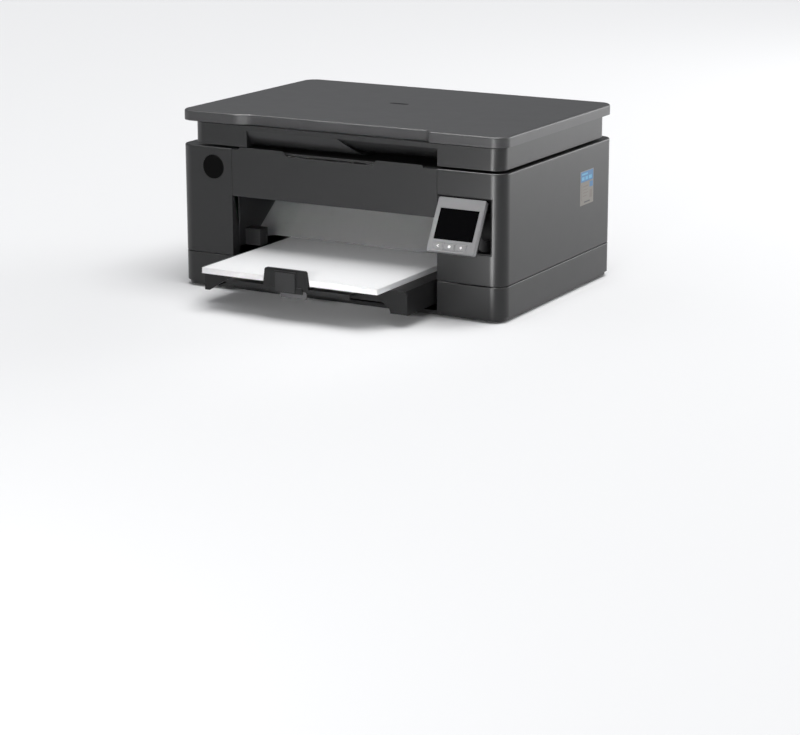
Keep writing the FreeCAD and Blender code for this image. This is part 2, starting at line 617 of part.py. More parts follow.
def panel_screen():
    x0, x1, z0, z1 = SCREEN
    pane = box(x0 + 0.1, x1 - 0.1, 0.5, PANEL_SKIN, z0 + 0.1, z1 - 0.1)
    module = box(x0 - 2.0, x1 + 2.0, PANEL_SKIN, 4.2, z0 + 0.6, z1 + 2.0)
    return tilt(union([pane, module]))


def panel_key(x):
    cap = box(x - KEY_HALF[0], x + KEY_HALF[0], -0.5, PANEL_SKIN + 0.4,
              KEY_Z - KEY_HALF[1], KEY_Z + KEY_HALF[1])
    cap = cap.makeFillet(0.4, [e for e in cap.Edges if e.BoundBox.YMax < -0.4])
    skirt = box(x - KEY_HALF[0] - 0.7, x + KEY_HALF[0] + 0.7, PANEL_SKIN + 0.15, PANEL_SKIN + 0.9,
                KEY_Z - KEY_HALF[1] - 0.5, KEY_Z + KEY_HALF[1] + 0.7)
    return tilt(union([cap, skirt]))


def panel_back():
    w = PANEL_WIDTH / 2
    cover = box(-w, w, PANEL_THICK - 1.6, PANEL_THICK, -PANEL_HEIGHT, 0.0)
    along_y = [e for e in cover.Edges if abs(e.tangentAt(e.FirstParameter).y) > 0.9]
    cover = cover.makeFillet(1.6, along_y)
    board = box(-w + 2.4, w - 2.4, 4.4, PANEL_THICK - 1.5, -PANEL_HEIGHT + 3.2, -3.2)
    pivot = (PIVOT_IN, -PIVOT_DOWN)
    parts = [cover, board]
    for side in (-1, 1):
        x0, x1 = sorted((side * PIVOT_EAR_X, side * (PIVOT_EAR_X - 2.4)))
        parts.append(rod_x(pivot, 3.0, x0, x1))
        parts.append(box(x0, x1, PANEL_THICK - 1, PIVOT_IN, -PIVOT_DOWN - 3.0, -PIVOT_DOWN + 3.0))
        pin = sorted((side * (PIVOT_EAR_X - 1.0), side * (PIVOT_EAR_X - 6.4)))
        parts.append(rod_x(pivot, 1.5, *pin))
    behind = box(-w - 2, w + 2, PANEL_THICK - 0.8, 80.0, -80.0, 10.0)
    for x in (-w + 1.0, w - 1.6):
        ring = rod_x(pivot, WING_R, x, x + 2.4).cut(rod_x(pivot, WING_R - WING_WIDTH, x - 1, x + 4))
        wedge = [pivot]
        for degrees in (-130.0, -100.0, -70.0, -70.0 + WING_SWEEP):
            a = math.radians(degrees)
            wedge.append((pivot[0] + 2 * WING_R * math.cos(a), pivot[1] + 2 * WING_R * math.sin(a)))
        parts.append(ring.common(prism_x(wedge, x, x + 2.4)).common(behind))
    return tilt(union(parts))


# ---- paper, cassette, extension and guides ----
def paper_stack():
    return box(STACK_LEFT, STACK_LEFT + SHEET_WIDTH, STACK_FRONT, STACK_FRONT + SHEET_LENGTH,
               STACK_BOTTOM, STACK_TOP)


def tray_bin():
    floor_bottom = STACK_BOTTOM - TRAY_FLOOR
    floor = box(TRAY_LEFT, TRAY_RIGHT, TRAY_FRONT, TRAY_REAR, floor_bottom, STACK_BOTTOM)
    brow = box(TRAY_LEFT, TRAY_RIGHT, TRAY_FRONT - 4.0, TRAY_FRONT + 4.0, floor_bottom, STACK_BOTTOM)
    skirts = [box(TRAY_LEFT, TRAY_LEFT + 2.5, TRAY_FRONT, TRAY_REAR, APRON_BOTTOM, STACK_BOTTOM),
              box(TRAY_RIGHT - 2.5, TRAY_RIGHT, TRAY_FRONT, TRAY_REAR, APRON_BOTTOM, STACK_BOTTOM)]
    apron = box(TRAY_LEFT, TRAY_RIGHT, TRAY_FRONT, TRAY_FRONT + 2.5, APRON_BOTTOM, APRON_TOP)
    low = APRON_BOTTOM - 1.0
    outline = [(-123.0, low), (-104.0, ARCH_TOP), (86.0, ARCH_TOP), (86.0, low)]
    arch = union([prism_y(outline, TRAY_FRONT - 1, TRAY_FRONT + 4),
                  rod_y(86.0, low, ARCH_TOP - low, TRAY_FRONT - 1, TRAY_FRONT + 4)])
    stop = box(TRAY_LEFT, TRAY_RIGHT, TRAY_REAR - 2.0, TRAY_REAR, APRON_BOTTOM, STACK_BOTTOM + 6.0)
    x0, x1 = EXTENSION_X
    cheeks = [box(TRAY_LEFT, x0 - 1.4, TRAY_FRONT, TRAY_FRONT + 2.5, APRON_TOP - 1, STACK_BOTTOM),
              box(x1 + 1.4, TRAY_RIGHT, TRAY_FRONT, TRAY_FRONT + 2.5, APRON_TOP - 1, STACK_BOTTOM)]
    ledge_bottom = EXTENSION_TOP - 5.2
    ledge_top = EXTENSION_TOP - EXTENSION_THICK - 0.3
    rails = [box(x, x + 2.0, TRAY_FRONT + 2, -60.0, ledge_bottom, STACK_BOTTOM - 1)
             for x in (x0 - 2.4, x1 + 0.4)]
    ledges = [box(x0 - 2.4, x0 + 2.6, TRAY_FRONT + 2, -60.0, ledge_bottom, ledge_top),
              box(x1 - 2.6, x1 + 2.4, TRAY_FRONT + 2, -60.0, ledge_bottom, ledge_top)]
    axle = rod_z(STACK_MIDDLE, GUIDE_Y, 1.9, RACK_Z[0] - 0.6, STACK_BOTTOM - 1)
    tray = union([floor, brow, apron.cut(arch), stop, axle] + skirts + cheeks + rails + ledges)
    left_slot = box(STACK_LEFT - 14.0, STACK_LEFT - 1.6, 48.6, 57.4, STACK_BOTTOM - 4, STACK_BOTTOM + 1)
    right = STACK_LEFT + SHEET_WIDTH
    right_slot = box(right + 1.6, right + 14.0, 32.6, 41.4, STACK_BOTTOM - 4, STACK_BOTTOM + 1)
    return tray.cut(group([left_slot, right_slot]))


def tray_extension():
    low = EXTENSION_TOP - EXTENSION_THICK
    x0, x1 = EXTENSION_X
    plate = box(x0, x1, TIP + 3.0, TRAY_FRONT + 60.0, low, EXTENSION_TOP)
    lip = box(x0, x1, TIP + 3.0, TIP + 5.0, low - 2.0, low + 1)
    ribs = [box(x, x + 1.6, TIP + 4.0, TRAY_FRONT - 1.0, low - 1.6, low + 1)
            for x in (-70.0, -34.0, 22.0, 58.0)]
    return union([plate, lip] + ribs)


def paper_stop():
    """Trapezoid upstand with rounded top corners, hooked over the front of the extension."""
    left, right = STOP_X
    top, bottom = STOP_TOP, EXTENSION_TOP
    outline = [(left - 1.5, bottom), (right + 1.5, bottom), (right - 1.0, top), (left + 1.0, top)]
    face = prism_y(outline, TIP + 1.2, TIP + 4.4)
    along_y = [e for e in face.Edges if abs(e.tangentAt(e.FirstParameter).y) > 0.9]
    corners = [e for e in along_y if e.BoundBox.ZMin > top - 1]
    face = face.makeFillet(3.0, corners)
    panel = box(left + 13.0, right - 13.0, TIP, TIP + 2.0, STOP_BOTTOM, top - 2.0)
    hook = box(left + 6.0, right - 6.0, TIP + 0.6, TIP + 3.0, STOP_BOTTOM, bottom + 1)
    foot = box(left - 1.5, right + 1.5, TIP + 1.2, TIP + 16.0, bottom, bottom + 1.6)
    return union([face, panel, hook, foot])


def width_guide(side):
    """side is -1 for the left guide and +1 for the right one."""
    edge = STACK_LEFT if side < 0 else STACK_LEFT + SHEET_WIDTH
    y_rack = GUIDE_Y - side * PINION_R
    near = edge + side * 0.3
    low = STACK_BOTTOM + 0.2
    fence = box(*sorted((near, edge + side * 2.5)), 10.0, 74.0, low, STACK_TOP + 0.5)
    foot = box(*sorted((near, edge + side * 8.0)), 12.0, 72.0, low, low + 1.2)
    y_neck = sorted((y_rack - side * 0.8, y_rack - side * RACK_DEPTH))
    neck = box(*sorted((edge + side * 2.0, edge + side * 3.6)), *y_neck, RACK_Z[0], STACK_BOTTOM + 1.0)
    step = math.pi * GUIDE_MODULE
    start = STACK_MIDDLE - (4.5 if side < 0 else 4.0) * step
    rack = rack_x(start, RACK_TEETH, GUIDE_MODULE, y_rack, side, RACK_DEPTH, *RACK_Z)
    reach = sorted((start if side < 0 else start + RACK_TEETH * step, edge + side * 3.6))
    bar = box(*reach, *y_neck, *RACK_Z)
    return union([fence, foot, neck, rack, bar])


def guide_pinion():
    wheel = gear_z(STACK_MIDDLE, GUIDE_Y, GUIDE_TEETH, GUIDE_MODULE, *RACK_Z, phase=0.25)
    return wheel.cut(rod_z(STACK_MIDDLE, GUIDE_Y, 2.0, RACK_Z[0] - 1, RACK_Z[1] + 1))


# ---- paper drive ----
def ring_of_holes(axis, count, distance, radius):
    """Lightening holes through a drive gear, as tools to cut with."""
    places = [(axis[0] + distance * math.cos(a), axis[1] + distance * math.sin(a))
              for a in [2 * math.pi * k / count for k in range(count)]]
    return group([rod_x(place, radius, GEAR_X[0] - 5, GEAR_X[1] + 5) for place in places])


def feed_roller():
    shaft = rod_x(FEED_AXIS, FEED_SHAFT_R, -183.4, 122.4)
    drum = rod_x(FEED_AXIS, ROLLER_R, -127.6, 117.6)
    gear = gear_x(FEED_AXIS, GEAR_TEETH, MODULE, *GEAR_X)
    return union([shaft, drum, gear.cut(ring_of_holes(FEED_AXIS, 6, 9.5, 2.4))])


def exit_roller():
    shaft = rod_x(EXIT_AXIS, FEED_SHAFT_R, -183.4, 122.4)
    tyres = [rod_x(EXIT_AXIS, ROLLER_R, x, x + 9.0) for x in EXIT_TYRES]
    gear = gear_x(EXIT_AXIS, GEAR_TEETH, MODULE, *GEAR_X)
    return union([shaft, gear.cut(ring_of_holes(EXIT_AXIS, 6, 9.5, 2.4))] + tyres)


def idler_gear():
    wheel = gear_x(IDLER_AXIS, GEAR_TEETH, MODULE, *GEAR_X, phase=0.5)
    axle = rod_x(IDLER_AXIS, 1.95, -183.4, -172.0)
    return union([wheel.cut(ring_of_holes(IDLER_AXIS, 5, 9.0, 3.0)), axle])


def motor_pinion():
    wheel = gear_x(PINION_AXIS, PINION_TEETH, MODULE, *GEAR_X)
    return wheel.cut(rod_x(PINION_AXIS, 1.55, -190, -170))


def pinch_rollers():
    rolls = [rod_x(PINCH_AXIS, PINCH_R, x, x + 16.0) for x in EXIT_TYRES]
    return union([rod_x(PINCH_AXIS, 1.5, -123.0, 120.0)] + rolls)


def pinch_holder():
    """Shelf on the chassis whose ears hold the pinch rollers' axle."""
    y = PINCH_AXIS[0]
    bar = box(-126.0, 116.0, y + 6.0, 121.0, 104.6, 106.6)
    ears = [box(x - 7.5, x - 5.0, y - 2.6, y + 8.0, 99.6, 106.6) for x in EXIT_TYRES]
    return union([bar] + ears).cut(rod_x(PINCH_AXIS, 1.6, -130, 130))


def star_wheels():
    wheels = [gear_x(STAR_AXIS, 16, 0.54, x + 3.5, x + 5.5) for x in EXIT_TYRES]
    return union([rod_x(STAR_AXIS, 1.0, -124.0, 118.0)] + wheels)


def star_holder():
    """Bar on the platen frame, above the exit roller, that carries the star wheels' axle."""
    y, z = STAR_AXIS
    bar = box(-131.0, 121.0, 22.0, 28.0, 100.5, 103.5)
    ears = [box(x - 1.5, x + 0.5, 24.0, y + 2.4, z - 2.4, z + 2.4) for x in EXIT_TYRES]
    return union([bar] + ears).cut(rod_x(STAR_AXIS, 1.1, -140, 140))


def pick_arm():
    cheeks = []
    for x in (-24.0, 10.4):
        link = union([rod_x(ARM_AXIS, 6.0, x, x + 4.0), rod_x(PICK_AXIS, 5.5, x, x + 4.0),
                      prism_x([(ARM_AXIS[0] + 1, ARM_AXIS[1] + 5.8), (PICK_AXIS[0] + 2, PICK_AXIS[1] + 5.0),
                               (PICK_AXIS[0] - 2, PICK_AXIS[1] - 5.0), (ARM_AXIS[0] - 2, ARM_AXIS[1] - 5.6)],
                              x, x + 4.0)])
        cheeks.append(link)
    bridge = box(-24.0, 14.4, 57.0, 70.0, 62.5, 66.0)
    arm = union(cheeks + [bridge])
    return arm.cut(group([rod_x(ARM_AXIS, 3.05, -30, 20), rod_x(PICK_AXIS, 2.55, -30, 20)]))


def pick_shaft():
    return rod_x(ARM_AXIS, 3.0, -150.0, 60.0)


def pick_roller():
    tyre = rod_x(PICK_AXIS, PICK_R, -19.5, 9.9)
    grooves = [rod_x(PICK_AXIS, PICK_R + 1, x, x + 1.4).cut(rod_x(PICK_AXIS, PICK_R - 1.2, x - 1, x + 3))
               for x in (-13.0, -5.5, 2.0)]
    return union([tyre.cut(group(grooves)), rod_x(PICK_AXIS, 2.5, -25.0, 15.4)])


# ---- ink carriage ----
def carriage():
    x0, x1 = CARRIAGE_LEFT, CARRIAGE_LEFT + CARRIAGE_WIDTH
    tub = box(x0, x1, 40.0, 93.0, 102.0, 131.0)
    tub = union([tub, box(x0, x1, 92.0, 118.8, 110.0, 130.6)])
    pockets, nozzles = [], []
    for x in (x0, x0 + CARTRIDGE_PITCH):
        pockets.append(box(x + 2.0, x + 36.0, 42.0, 91.0, 104.0, 132.0))
        nozzles.append(box(x + 10.0, x + 28.0, 52.0, 82.0, 101.0, 105.0))
    grip = box(x0 - 1, x1 + 1, 109.8, 120.0, 128.0, 131.0)
    light = box(x0 + 6.0, x1 - 6.0, 94.0, 104.0, 109.0, 125.0)
    cuts = pockets + nozzles + [grip, light, rod_x(RAIL_AXIS, RAIL_R + 0.08, x0 - 1, x1 + 1)]
    return tub.cut(group(cuts))


def cartridge(index):
    x0 = CARRIAGE_LEFT + 2.3 + index * CARTRIDGE_PITCH
    tank = box(x0, x0 + 33.4, 42.4, 90.6, 104.0, 135.0)
    tank = tank.makeFillet(2.0, [e for e in tank.Edges if e.BoundBox.ZMin > 134.9])
    snout = box(x0 + 8.2, x0 + 25.2, 52.6, 81.4, 99.6, 105.0)
    grip = box(x0 + 8.0, x0 + 25.4, 44.0, 50.0, 134.0, 138.0)
    return union([tank, snout, grip])


def cap_sled():
    sled = box(123.2, 185.4, 43.0, 91.0, 90.4, 92.4)
    sled = sled.cut(group([rod_z(x, 67.0, 3.3, 89.0, 94.0) for x in SLED_PILLARS]))
    caps = []
    for i in range(2):
        x = CARRIAGE_LEFT + 9.5 + CARTRIDGE_PITCH * i
        cap = box(x + 1.0, x + 18.0, 52.0, 82.0, 92.0, 99.2)
        caps.append(cap.cut(box(x + 2.6, x + 16.4, 53.6, 80.4, 94.0, 100.0)))
    return union([sled] + caps)


# ---- flatbed scanner ----
def scanner_base():
    outer = rounded(SCAN_LEFT, SCAN_RIGHT, FRONT, SCAN_REAR, SCAN_BOTTOM, SCAN_TOP, 14.0)
    outer = soften(outer, SCAN_BOTTOM, 1.0)
    bay = box(SCAN_LEFT + 5.0, SCAN_RIGHT - 5.0, FRONT + 21.0, SCAN_REAR - 5.0, BAY_FLOOR, SCAN_TOP + 1)
    frame_seat = rounded(SCAN_LEFT + 3.0, SCAN_RIGHT - 3.0, FRONT + 3.0, SCAN_REAR - 3.0,
                         FRAME_BOTTOM, SCAN_TOP + 1, 11.0)
    under = [box(SCAN_LEFT + 5.0, SCAN_RIGHT - 5.0, FRONT + 92.0, SCAN_REAR - 5.0, 157.0, 168.0),
             box(SCAN_LEFT + 5.0, GAP_LEFT - 4.0, FRONT + 4.0, FRONT + 88.0, 157.0, 168.0),
             box(GAP_RIGHT + 4.0, SCAN_RIGHT - 5.0, FRONT + 4.0, FRONT + 88.0, 157.0, 168.0)]
    gap = prism_x([(FRONT - 1, 157.0), (FRONT - 1, GAP_TOP), (FRONT + 15.0, GAP_TOP), (FRONT + 27.0, 168.0),
                   (FRONT + 86.0, 168.0), (FRONT + 86.0, 157.0)], GAP_LEFT, GAP_RIGHT)
    base = outer.cut(group([bay, frame_seat, gap] + under))
    lugs, holes, notches = [], [], []
    for x in LIFT_HINGE_X:
        notches.append(box(x - 4.6, x + 4.6, LIFT_AXIS[0] - 6.0, SCAN_REAR + 1, SCAN_BOTTOM - 1, 167.0))
        for x0 in (x - 8.6, x + 4.6):
            lugs.append(rod_x(LIFT_AXIS, 3.6, x0, x0 + 4.0))
            lugs.append(box(x0, x0 + 4.0, LIFT_AXIS[0] - 6.0, LIFT_AXIS[0] + 3.0, LIFT_AXIS[1], 168.5))
        lugs.append(rod_x(LIFT_AXIS, 2.0, x - 8.0, x + 8.0))
    for x in LID_HINGE_X:
        lugs.append(union([box(x - 6, x + 6, SCAN_REAR - 2.0, LID_AXIS[0] + 4.5, 169.0, LID_AXIS[1]),
                           rod_x(LID_AXIS, 4.5, x - 6, x + 6)]))
        holes.append(rod_x(LID_AXIS, 2.05, x - 7, x + 7))
    rail_posts = [box(x, x + 4.0, SCAN_RAIL_Y - 4.0, SCAN_RAIL_Y + 4.0, BAY_FLOOR - 1, 176.0)
                  for x in (SCAN_LEFT + 5.0, SCAN_RIGHT - 9.0)]
    rail_hole = rod_x((SCAN_RAIL_Y, SCAN_RAIL_Z), 2.0, SCAN_LEFT + 4, SCAN_RIGHT - 4)
    step = math.pi * SCAN_MODULE
    teeth = int((SCAN_RACK_X[1] - SCAN_RACK_X[0]) / step)
    rack = rack_x(SCAN_RACK_X[0], teeth, SCAN_MODULE, SCAN_RACK_Y, -1, 3.0, BAY_FLOOR - 0.5, 172.6)
    base = base.cut(group(notches))
    base = union([base] + lugs + rail_posts + [rack, scoop(), baffle()])
    return base.cut(group(holes + [rail_hole]))


def hung_sheet(lip, bend, foot, x0, x1):
    """Thin wall that curves down and back from a lip, then runs level to the rear of the hand gap.

    lip, bend and foot are (y, z): the lip's front edge, the curve's pole, and where it turns level.
    """
    far = FRONT + 86.5
    t = SHEET_THICK

    def curve(points):
        bezier = Part.BezierCurve()
        bezier.setPoles([V(0, y, z) for y, z in points])
        return bezier.toShape()

    outside = curve([lip, bend, foot])
    inside = curve([(lip[0] + t, lip[1]), (bend[0] + t, bend[1] + t), (foot[0] + t, foot[1] + t)])
    edges = [outside, inside,
             Part.makeLine(V(0, *foot), V(0, far, foot[1])),
             Part.makeLine(V(0, far, foot[1]), V(0, far, foot[1] + t)),
             Part.makeLine(V(0, far, foot[1] + t), V(0, foot[0] + t, foot[1] + t)),
             Part.makeLine(V(0, lip[0] + t, lip[1]), V(0, *lip))]
    face = Part.Face(Part.Wire(Part.__sortEdges__(edges)))
    sheet = face.extrude(V(x1 - x0, 0, 0))
    sheet.translate(V(x0, 0, 0))
    return sheet


def scoop():
    """Ceiling of the hand gap, which slopes down and back behind its front edge."""
    return hung_sheet((FRONT + 1.2, GAP_TOP + 0.8), (FRONT + 9.0, 166.0), (FRONT + 26.0, SCOOP_BOTTOM),
                      GAP_LEFT - 0.5, GAP_RIGHT + 0.5)


def baffle():
    """Second, steeper sheet at the left of the hand gap. Its right end is cut on a slant."""
    sheet = hung_sheet((FRONT + 0.3, GAP_TOP + 0.8), (FRONT + 4.5, 163.0), (FRONT + 15.0, BAFFLE_BOTTOM),
                       GAP_LEFT - 0.5, BAFFLE_END[1][0] + 5.0)
    beyond = BAFFLE_END[1][0] + 10.0
    slant = [BAFFLE_END[0], BAFFLE_END[1], (beyond, BAFFLE_END[1][1]), (beyond, SCAN_TOP),
             (BAFFLE_END[0][0], SCAN_TOP)]
    return sheet.cut(prism_y(slant, FRONT - 1, FRONT + 90.0))


def scanner_frame():
    outline = rounded(SCAN_LEFT + 3.2, SCAN_RIGHT - 3.2, FRONT + 3.2, SCAN_REAR - 3.2,
                      FRAME_BOTTOM, GLASS_TOP, 10.8)
    x0, x1, y0, y1 = WINDOW
    window = box(x0, x1, y0, y1, GLASS_TOP - GLASS_THICK, GLASS_TOP + 1)
    light = box(x0 + 3, x1 - 3, y0 + 3, y1 - 3, 177.0, GLASS_TOP)
    return outline.cut(group([window, light]))


def scanner_glass():
    x0, x1, y0, y1 = WINDOW
    return box(x0 + 0.2, x1 - 0.2, y0 + 0.2, y1 - 0.2, GLASS_TOP - GLASS_THICK, GLASS_TOP)


def scan_rail():
    return rod_x((SCAN_RAIL_Y, SCAN_RAIL_Z), 2.0, SCAN_LEFT + 5.0, SCAN_RIGHT - 5.0)


def scan_bar():
    x0 = BAR_LEFT
    bar = box(x0, x0 + BAR_WIDTH, WINDOW[2] + 4.0, WINDOW[3] - 4.0, BAY_FLOOR + 0.6, 178.2)
    lens = box(x0 + 7.0, x0 + 11.0, WINDOW[2] + 6.0, WINDOW[3] - 6.0, 177.2, 179.0)
    rack_room = box(x0 - 1, x0 + BAR_WIDTH + 1, SCAN_RACK_Y - 1.4, SCAN_RACK_Y + 3.6, BAY_FLOOR, 173.2)
    drive = box(x0 + BAR_WIDTH - 1, x0 + BAR_WIDTH + 12.0, SCAN_RAIL_Y - 5.0, SCAN_RACK_Y + 2.0, 174.6, 178.0)
    axle = rod_z(PINION_X, SCAN_RACK_Y - SCAN_PINION_R, 1.5, BAY_FLOOR + 0.6, 175.0)
    bore = rod_x((SCAN_RAIL_Y, SCAN_RAIL_Z), 2.08, x0 - 1, x0 + BAR_WIDTH + 13)
    return union([bar, drive, axle]).cut(group([lens, rack_room, bore]))


def scan_pinion():
    y = SCAN_RACK_Y - SCAN_PINION_R
    step = math.pi * SCAN_MODULE
    travel = PINION_X - SCAN_RACK_X[0] - 0.5 * step
    phase = (travel % step) / step + 0.5
    wheel = gear_z(PINION_X, y, SCAN_PINION_TEETH, SCAN_MODULE, BAY_FLOOR + 0.5, 173.0)
    wheel.rotate(V(PINION_X, y, 0), V(0, 0, 1), 90.0 + phase * 360.0 / SCAN_PINION_TEETH)
    return wheel.cut(rod_z(PINION_X, y, 1.58, BAY_FLOOR, 174.0))


# ---- scanner lid ----
def lid_cover():
    slab = rounded(-HALF, HALF, FRONT, REAR, LID_BOTTOM, HEIGHT, CORNER)
    slab = slab.cut(finger_recess())
    slab = soften(slab, HEIGHT, 2.2)
    hollow = rounded(-HALF + 3.0, HALF - 3.0, FRONT + 10.0, REAR - 3.0, LID_BOTTOM - 1, HEIGHT - 2.5,
                     CORNER - 3.0)
    mark_bottom = HEIGHT - 0.4
    above = HEIGHT + 1
    left, right = MARK_X - 8.0, MARK_X + 8.0
    mark = union([box(left, right, MARK_Y - MARK_R, MARK_Y + MARK_R, mark_bottom, above),
                  rod_z(left, MARK_Y, MARK_R, mark_bottom, above),
                  rod_z(right, MARK_Y, MARK_R, mark_bottom, above)])
    notches = [box(x - 13.0, x + 13.0, REAR - 5.0, REAR + 1, LID_BOTTOM - 1, HEIGHT - 2.5)
               for x in LID_HINGE_X]
    return slab.cut(group([hollow, mark] + notches))


def finger_recess():
    """Shallow set-back along the lid's front edge, its ends drawn as S curves."""
    back = FRONT + LID_RECESS_BACK

    def s_curve(x_front, x_back):
        middle = (x_front + x_back) / 2
        curve = Part.BezierCurve()
        curve.setPoles([V(x_front, FRONT, 0), V(middle, FRONT, 0), V(middle, back, 0), V(x_back, back, 0)])
        return curve.toShape()

    x0, x1 = LID_RECESS_LEFT
    x2, x3 = LID_RECESS_RIGHT
    ahead = FRONT - 5.0
    edges = [Part.makeLine(V(x0, ahead, 0), V(x0, FRONT, 0)), s_curve(x0, x1),
             Part.makeLine(V(x1, back, 0), V(x2, back, 0)), s_curve(x3, x2),
             Part.makeLine(V(x3, FRONT, 0), V(x3, ahead, 0)),
             Part.makeLine(V(x3, ahead, 0), V(x0, ahead, 0))]
    face = Part.Face(Part.Wire(Part.__sortEdges__(edges)))
    solid = face.extrude(V(0, 0, HEIGHT - LID_BOTTOM + 4))
    solid.translate(V(0, 0, LID_BOTTOM - 2))
    return solid


def lid_pad():
    x0, x1, y0, y1 = WINDOW
    return rounded(x0 + 1, x1 - 1, y0 + 1, y1 - 1, GLASS_TOP + 0.5, HEIGHT - 2.5, 3.0)


def lid_hinges():
    pieces = []
    for x in LID_HINGE_X:
        parts = [rod_x(LID_AXIS, 2.0, x - 10.5, x + 10.5)]
        for x0 in (x - 10.5, x + 6.5):
            parts.append(rod_x(LID_AXIS, 4.6, x0, x0 + 4.0))
            parts.append(box(x0, x0 + 4.0, LID_AXIS[0] - 4.6, LID_AXIS[0] + 4.6, LID_AXIS[1], HEIGHT - 2.5))
        pieces.append(union(parts))
    return group(pieces)


PARTS = {
    "base_case": base_case,
    "body_shell": body_shell,
    "front_badge": front_badge,
    "side_label": side_label,
    "panel_recess": panel_recess,
    "mouth_liner": mouth_liner,
    "exit_ramp": exit_ramp,
    "chassis": chassis,
    "guide_rail": guide_rail,
    "platen": platen,
    "uturn_guide": uturn_guide,
    "feed_motor": feed_motor,
    "carriage_motor": carriage_motor,
    "carriage_belt": carriage_belt,
    "service_station": service_station,
    "waste_ink_pad": waste_ink_pad,
    "main_board": main_board,
    "power_supply": power_supply,
    "power_inlet": power_inlet,
    "feet": feet,
    "case_screws": case_screws,
    "front_door": front_door,
    "rear_door": rear_door,
    "panel_bezel": panel_bezel,
    "panel_screen": panel_screen,
    "panel_back": panel_back,
    "key_left": lambda: panel_key(KEY_X[0]),
    "key_middle": lambda: panel_key(KEY_X[1]),
    "key_right": lambda: panel_key(KEY_X[2]),
    "paper_stack": paper_stack,
    "tray_bin": tray_bin,
    "tray_extension": tray_extension,
    "paper_stop": paper_stop,
    "left_width_guide": lambda: width_guide(-1),
    "right_width_guide": lambda: width_guide(1),
    "guide_pinion": guide_pinion,
    "feed_roller": feed_roller,
    "exit_roller": exit_roller,
    "idler_gear": idler_gear,
    "motor_pinion": motor_pinion,
    "pinch_rollers": pinch_rollers,
    "star_wheels": star_wheels,
    "pick_arm": pick_arm,
    "pick_shaft": pick_shaft,
    "pick_roller": pick_roller,
    "carriage": carriage,
    "black_cartridge": lambda: cartridge(0),
    "colour_cartridge": lambda: cartridge(1),
    "drive_pulley": lambda: belt_pulley(BELT_ENDS[0], 1.55),
    "idler_pulley": lambda: belt_pulley(BELT_ENDS[1], 2.05),
    "cap_sled": cap_sled,
    "scanner_base": scanner_base,
    "scanner_frame": scanner_frame,
    "scanner_glass": scanner_glass,
    "scan_rail": scan_rail,
    "scan_bar": scan_bar,
    "scan_pinion": scan_pinion,
    "lid_cover": lid_cover,
    "lid_pad": lid_pad,
    "lid_hinges": lid_hinges,
}

os.makedirs("parts", exist_ok=True)
for name, make in PARTS.items():
    shape = make()
    print(name, len(shape.Solids), round(shape.Volume), shape.isValid())
    shape.exportStep(f"parts/{name}.step")
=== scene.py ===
import json
import math
import random

import bmesh
import bpy
from mathutils import Matrix, Vector


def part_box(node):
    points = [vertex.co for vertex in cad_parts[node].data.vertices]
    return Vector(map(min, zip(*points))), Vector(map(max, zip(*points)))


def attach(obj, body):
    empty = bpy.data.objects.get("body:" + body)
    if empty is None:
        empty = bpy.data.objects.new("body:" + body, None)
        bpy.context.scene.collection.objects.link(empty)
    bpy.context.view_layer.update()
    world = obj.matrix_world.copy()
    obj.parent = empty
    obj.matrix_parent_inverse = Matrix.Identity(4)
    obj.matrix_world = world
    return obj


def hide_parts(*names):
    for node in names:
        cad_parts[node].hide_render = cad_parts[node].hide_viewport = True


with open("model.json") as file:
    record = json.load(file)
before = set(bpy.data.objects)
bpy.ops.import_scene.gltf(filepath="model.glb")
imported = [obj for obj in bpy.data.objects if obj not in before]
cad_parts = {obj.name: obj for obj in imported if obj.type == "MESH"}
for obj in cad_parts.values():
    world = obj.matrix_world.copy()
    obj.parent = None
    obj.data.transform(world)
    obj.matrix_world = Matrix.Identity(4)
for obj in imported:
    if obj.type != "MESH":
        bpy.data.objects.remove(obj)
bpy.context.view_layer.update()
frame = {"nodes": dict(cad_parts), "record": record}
nodes = frame["nodes"]
record = frame["record"]
scene = bpy.context.scene
MM = 0.001


# ---------------------------------------------------------------- camera, floor and light
CAMERA_ANGLES = (27.57, 13.72, 0.27)     # degrees: to the right of straight ahead, above level, roll
CAMERA_PLACE = (1.211, -2.120, 0.5714)
CAMERA_SHIFT = (-0.0788, -0.0727)
CAMERA_LENS = 103.22                     # millimetres, before a sensor 36 mm wide


def make_camera():
    """Looks at the front from the right and above, at the angle of a product shot."""
    azimuth, elevation, roll = (math.radians(a) for a in CAMERA_ANGLES)
    back = Vector((math.sin(azimuth) * math.cos(elevation),
                   -math.cos(azimuth) * math.cos(elevation), math.sin(elevation)))
    right = Vector((math.cos(azimuth), math.sin(azimuth), 0))
    up = back.cross(right)
    data = bpy.data.cameras.new("camera")
    data.sensor_width = 36.0
    data.lens = CAMERA_LENS
    data.shift_x, data.shift_y = CAMERA_SHIFT
    data.clip_end = 50
    camera = bpy.data.objects.new("camera", data)
    scene.collection.objects.link(camera)
    turn = Matrix((right, up, back)).transposed().to_4x4()
    camera.matrix_world = Matrix.Translation(CAMERA_PLACE) @ turn @ Matrix.Rotation(roll, 4, "Z")
    scene.camera = camera


def aim(obj, target):
    """Turns a lamp to face a point."""
    direction = Vector(target) - obj.location
    obj.rotation_euler = direction.to_track_quat("-Z", "Y").to_euler()


def soft_light(name, place, target, size, watts):
    """A rectangular lamp, aimed at a point, that the camera doesn't see."""
    data = bpy.data.lights.new(name, "AREA")
    data.shape = "RECTANGLE"
    data.size, data.size_y = size
    data.energy = watts
    lamp = bpy.data.objects.new(name, data)
    lamp.location = place
    lamp.visible_camera = False
    scene.collection.objects.link(lamp)
    aim(lamp, target)
    return lamp


def around(azimuth, distance, height):
    """A place round the object: azimuth in degrees from straight ahead of its front, towards its right."""
    a = math.radians(azimuth)
    return (math.sin(a) * distance, -math.cos(a) * distance, height)


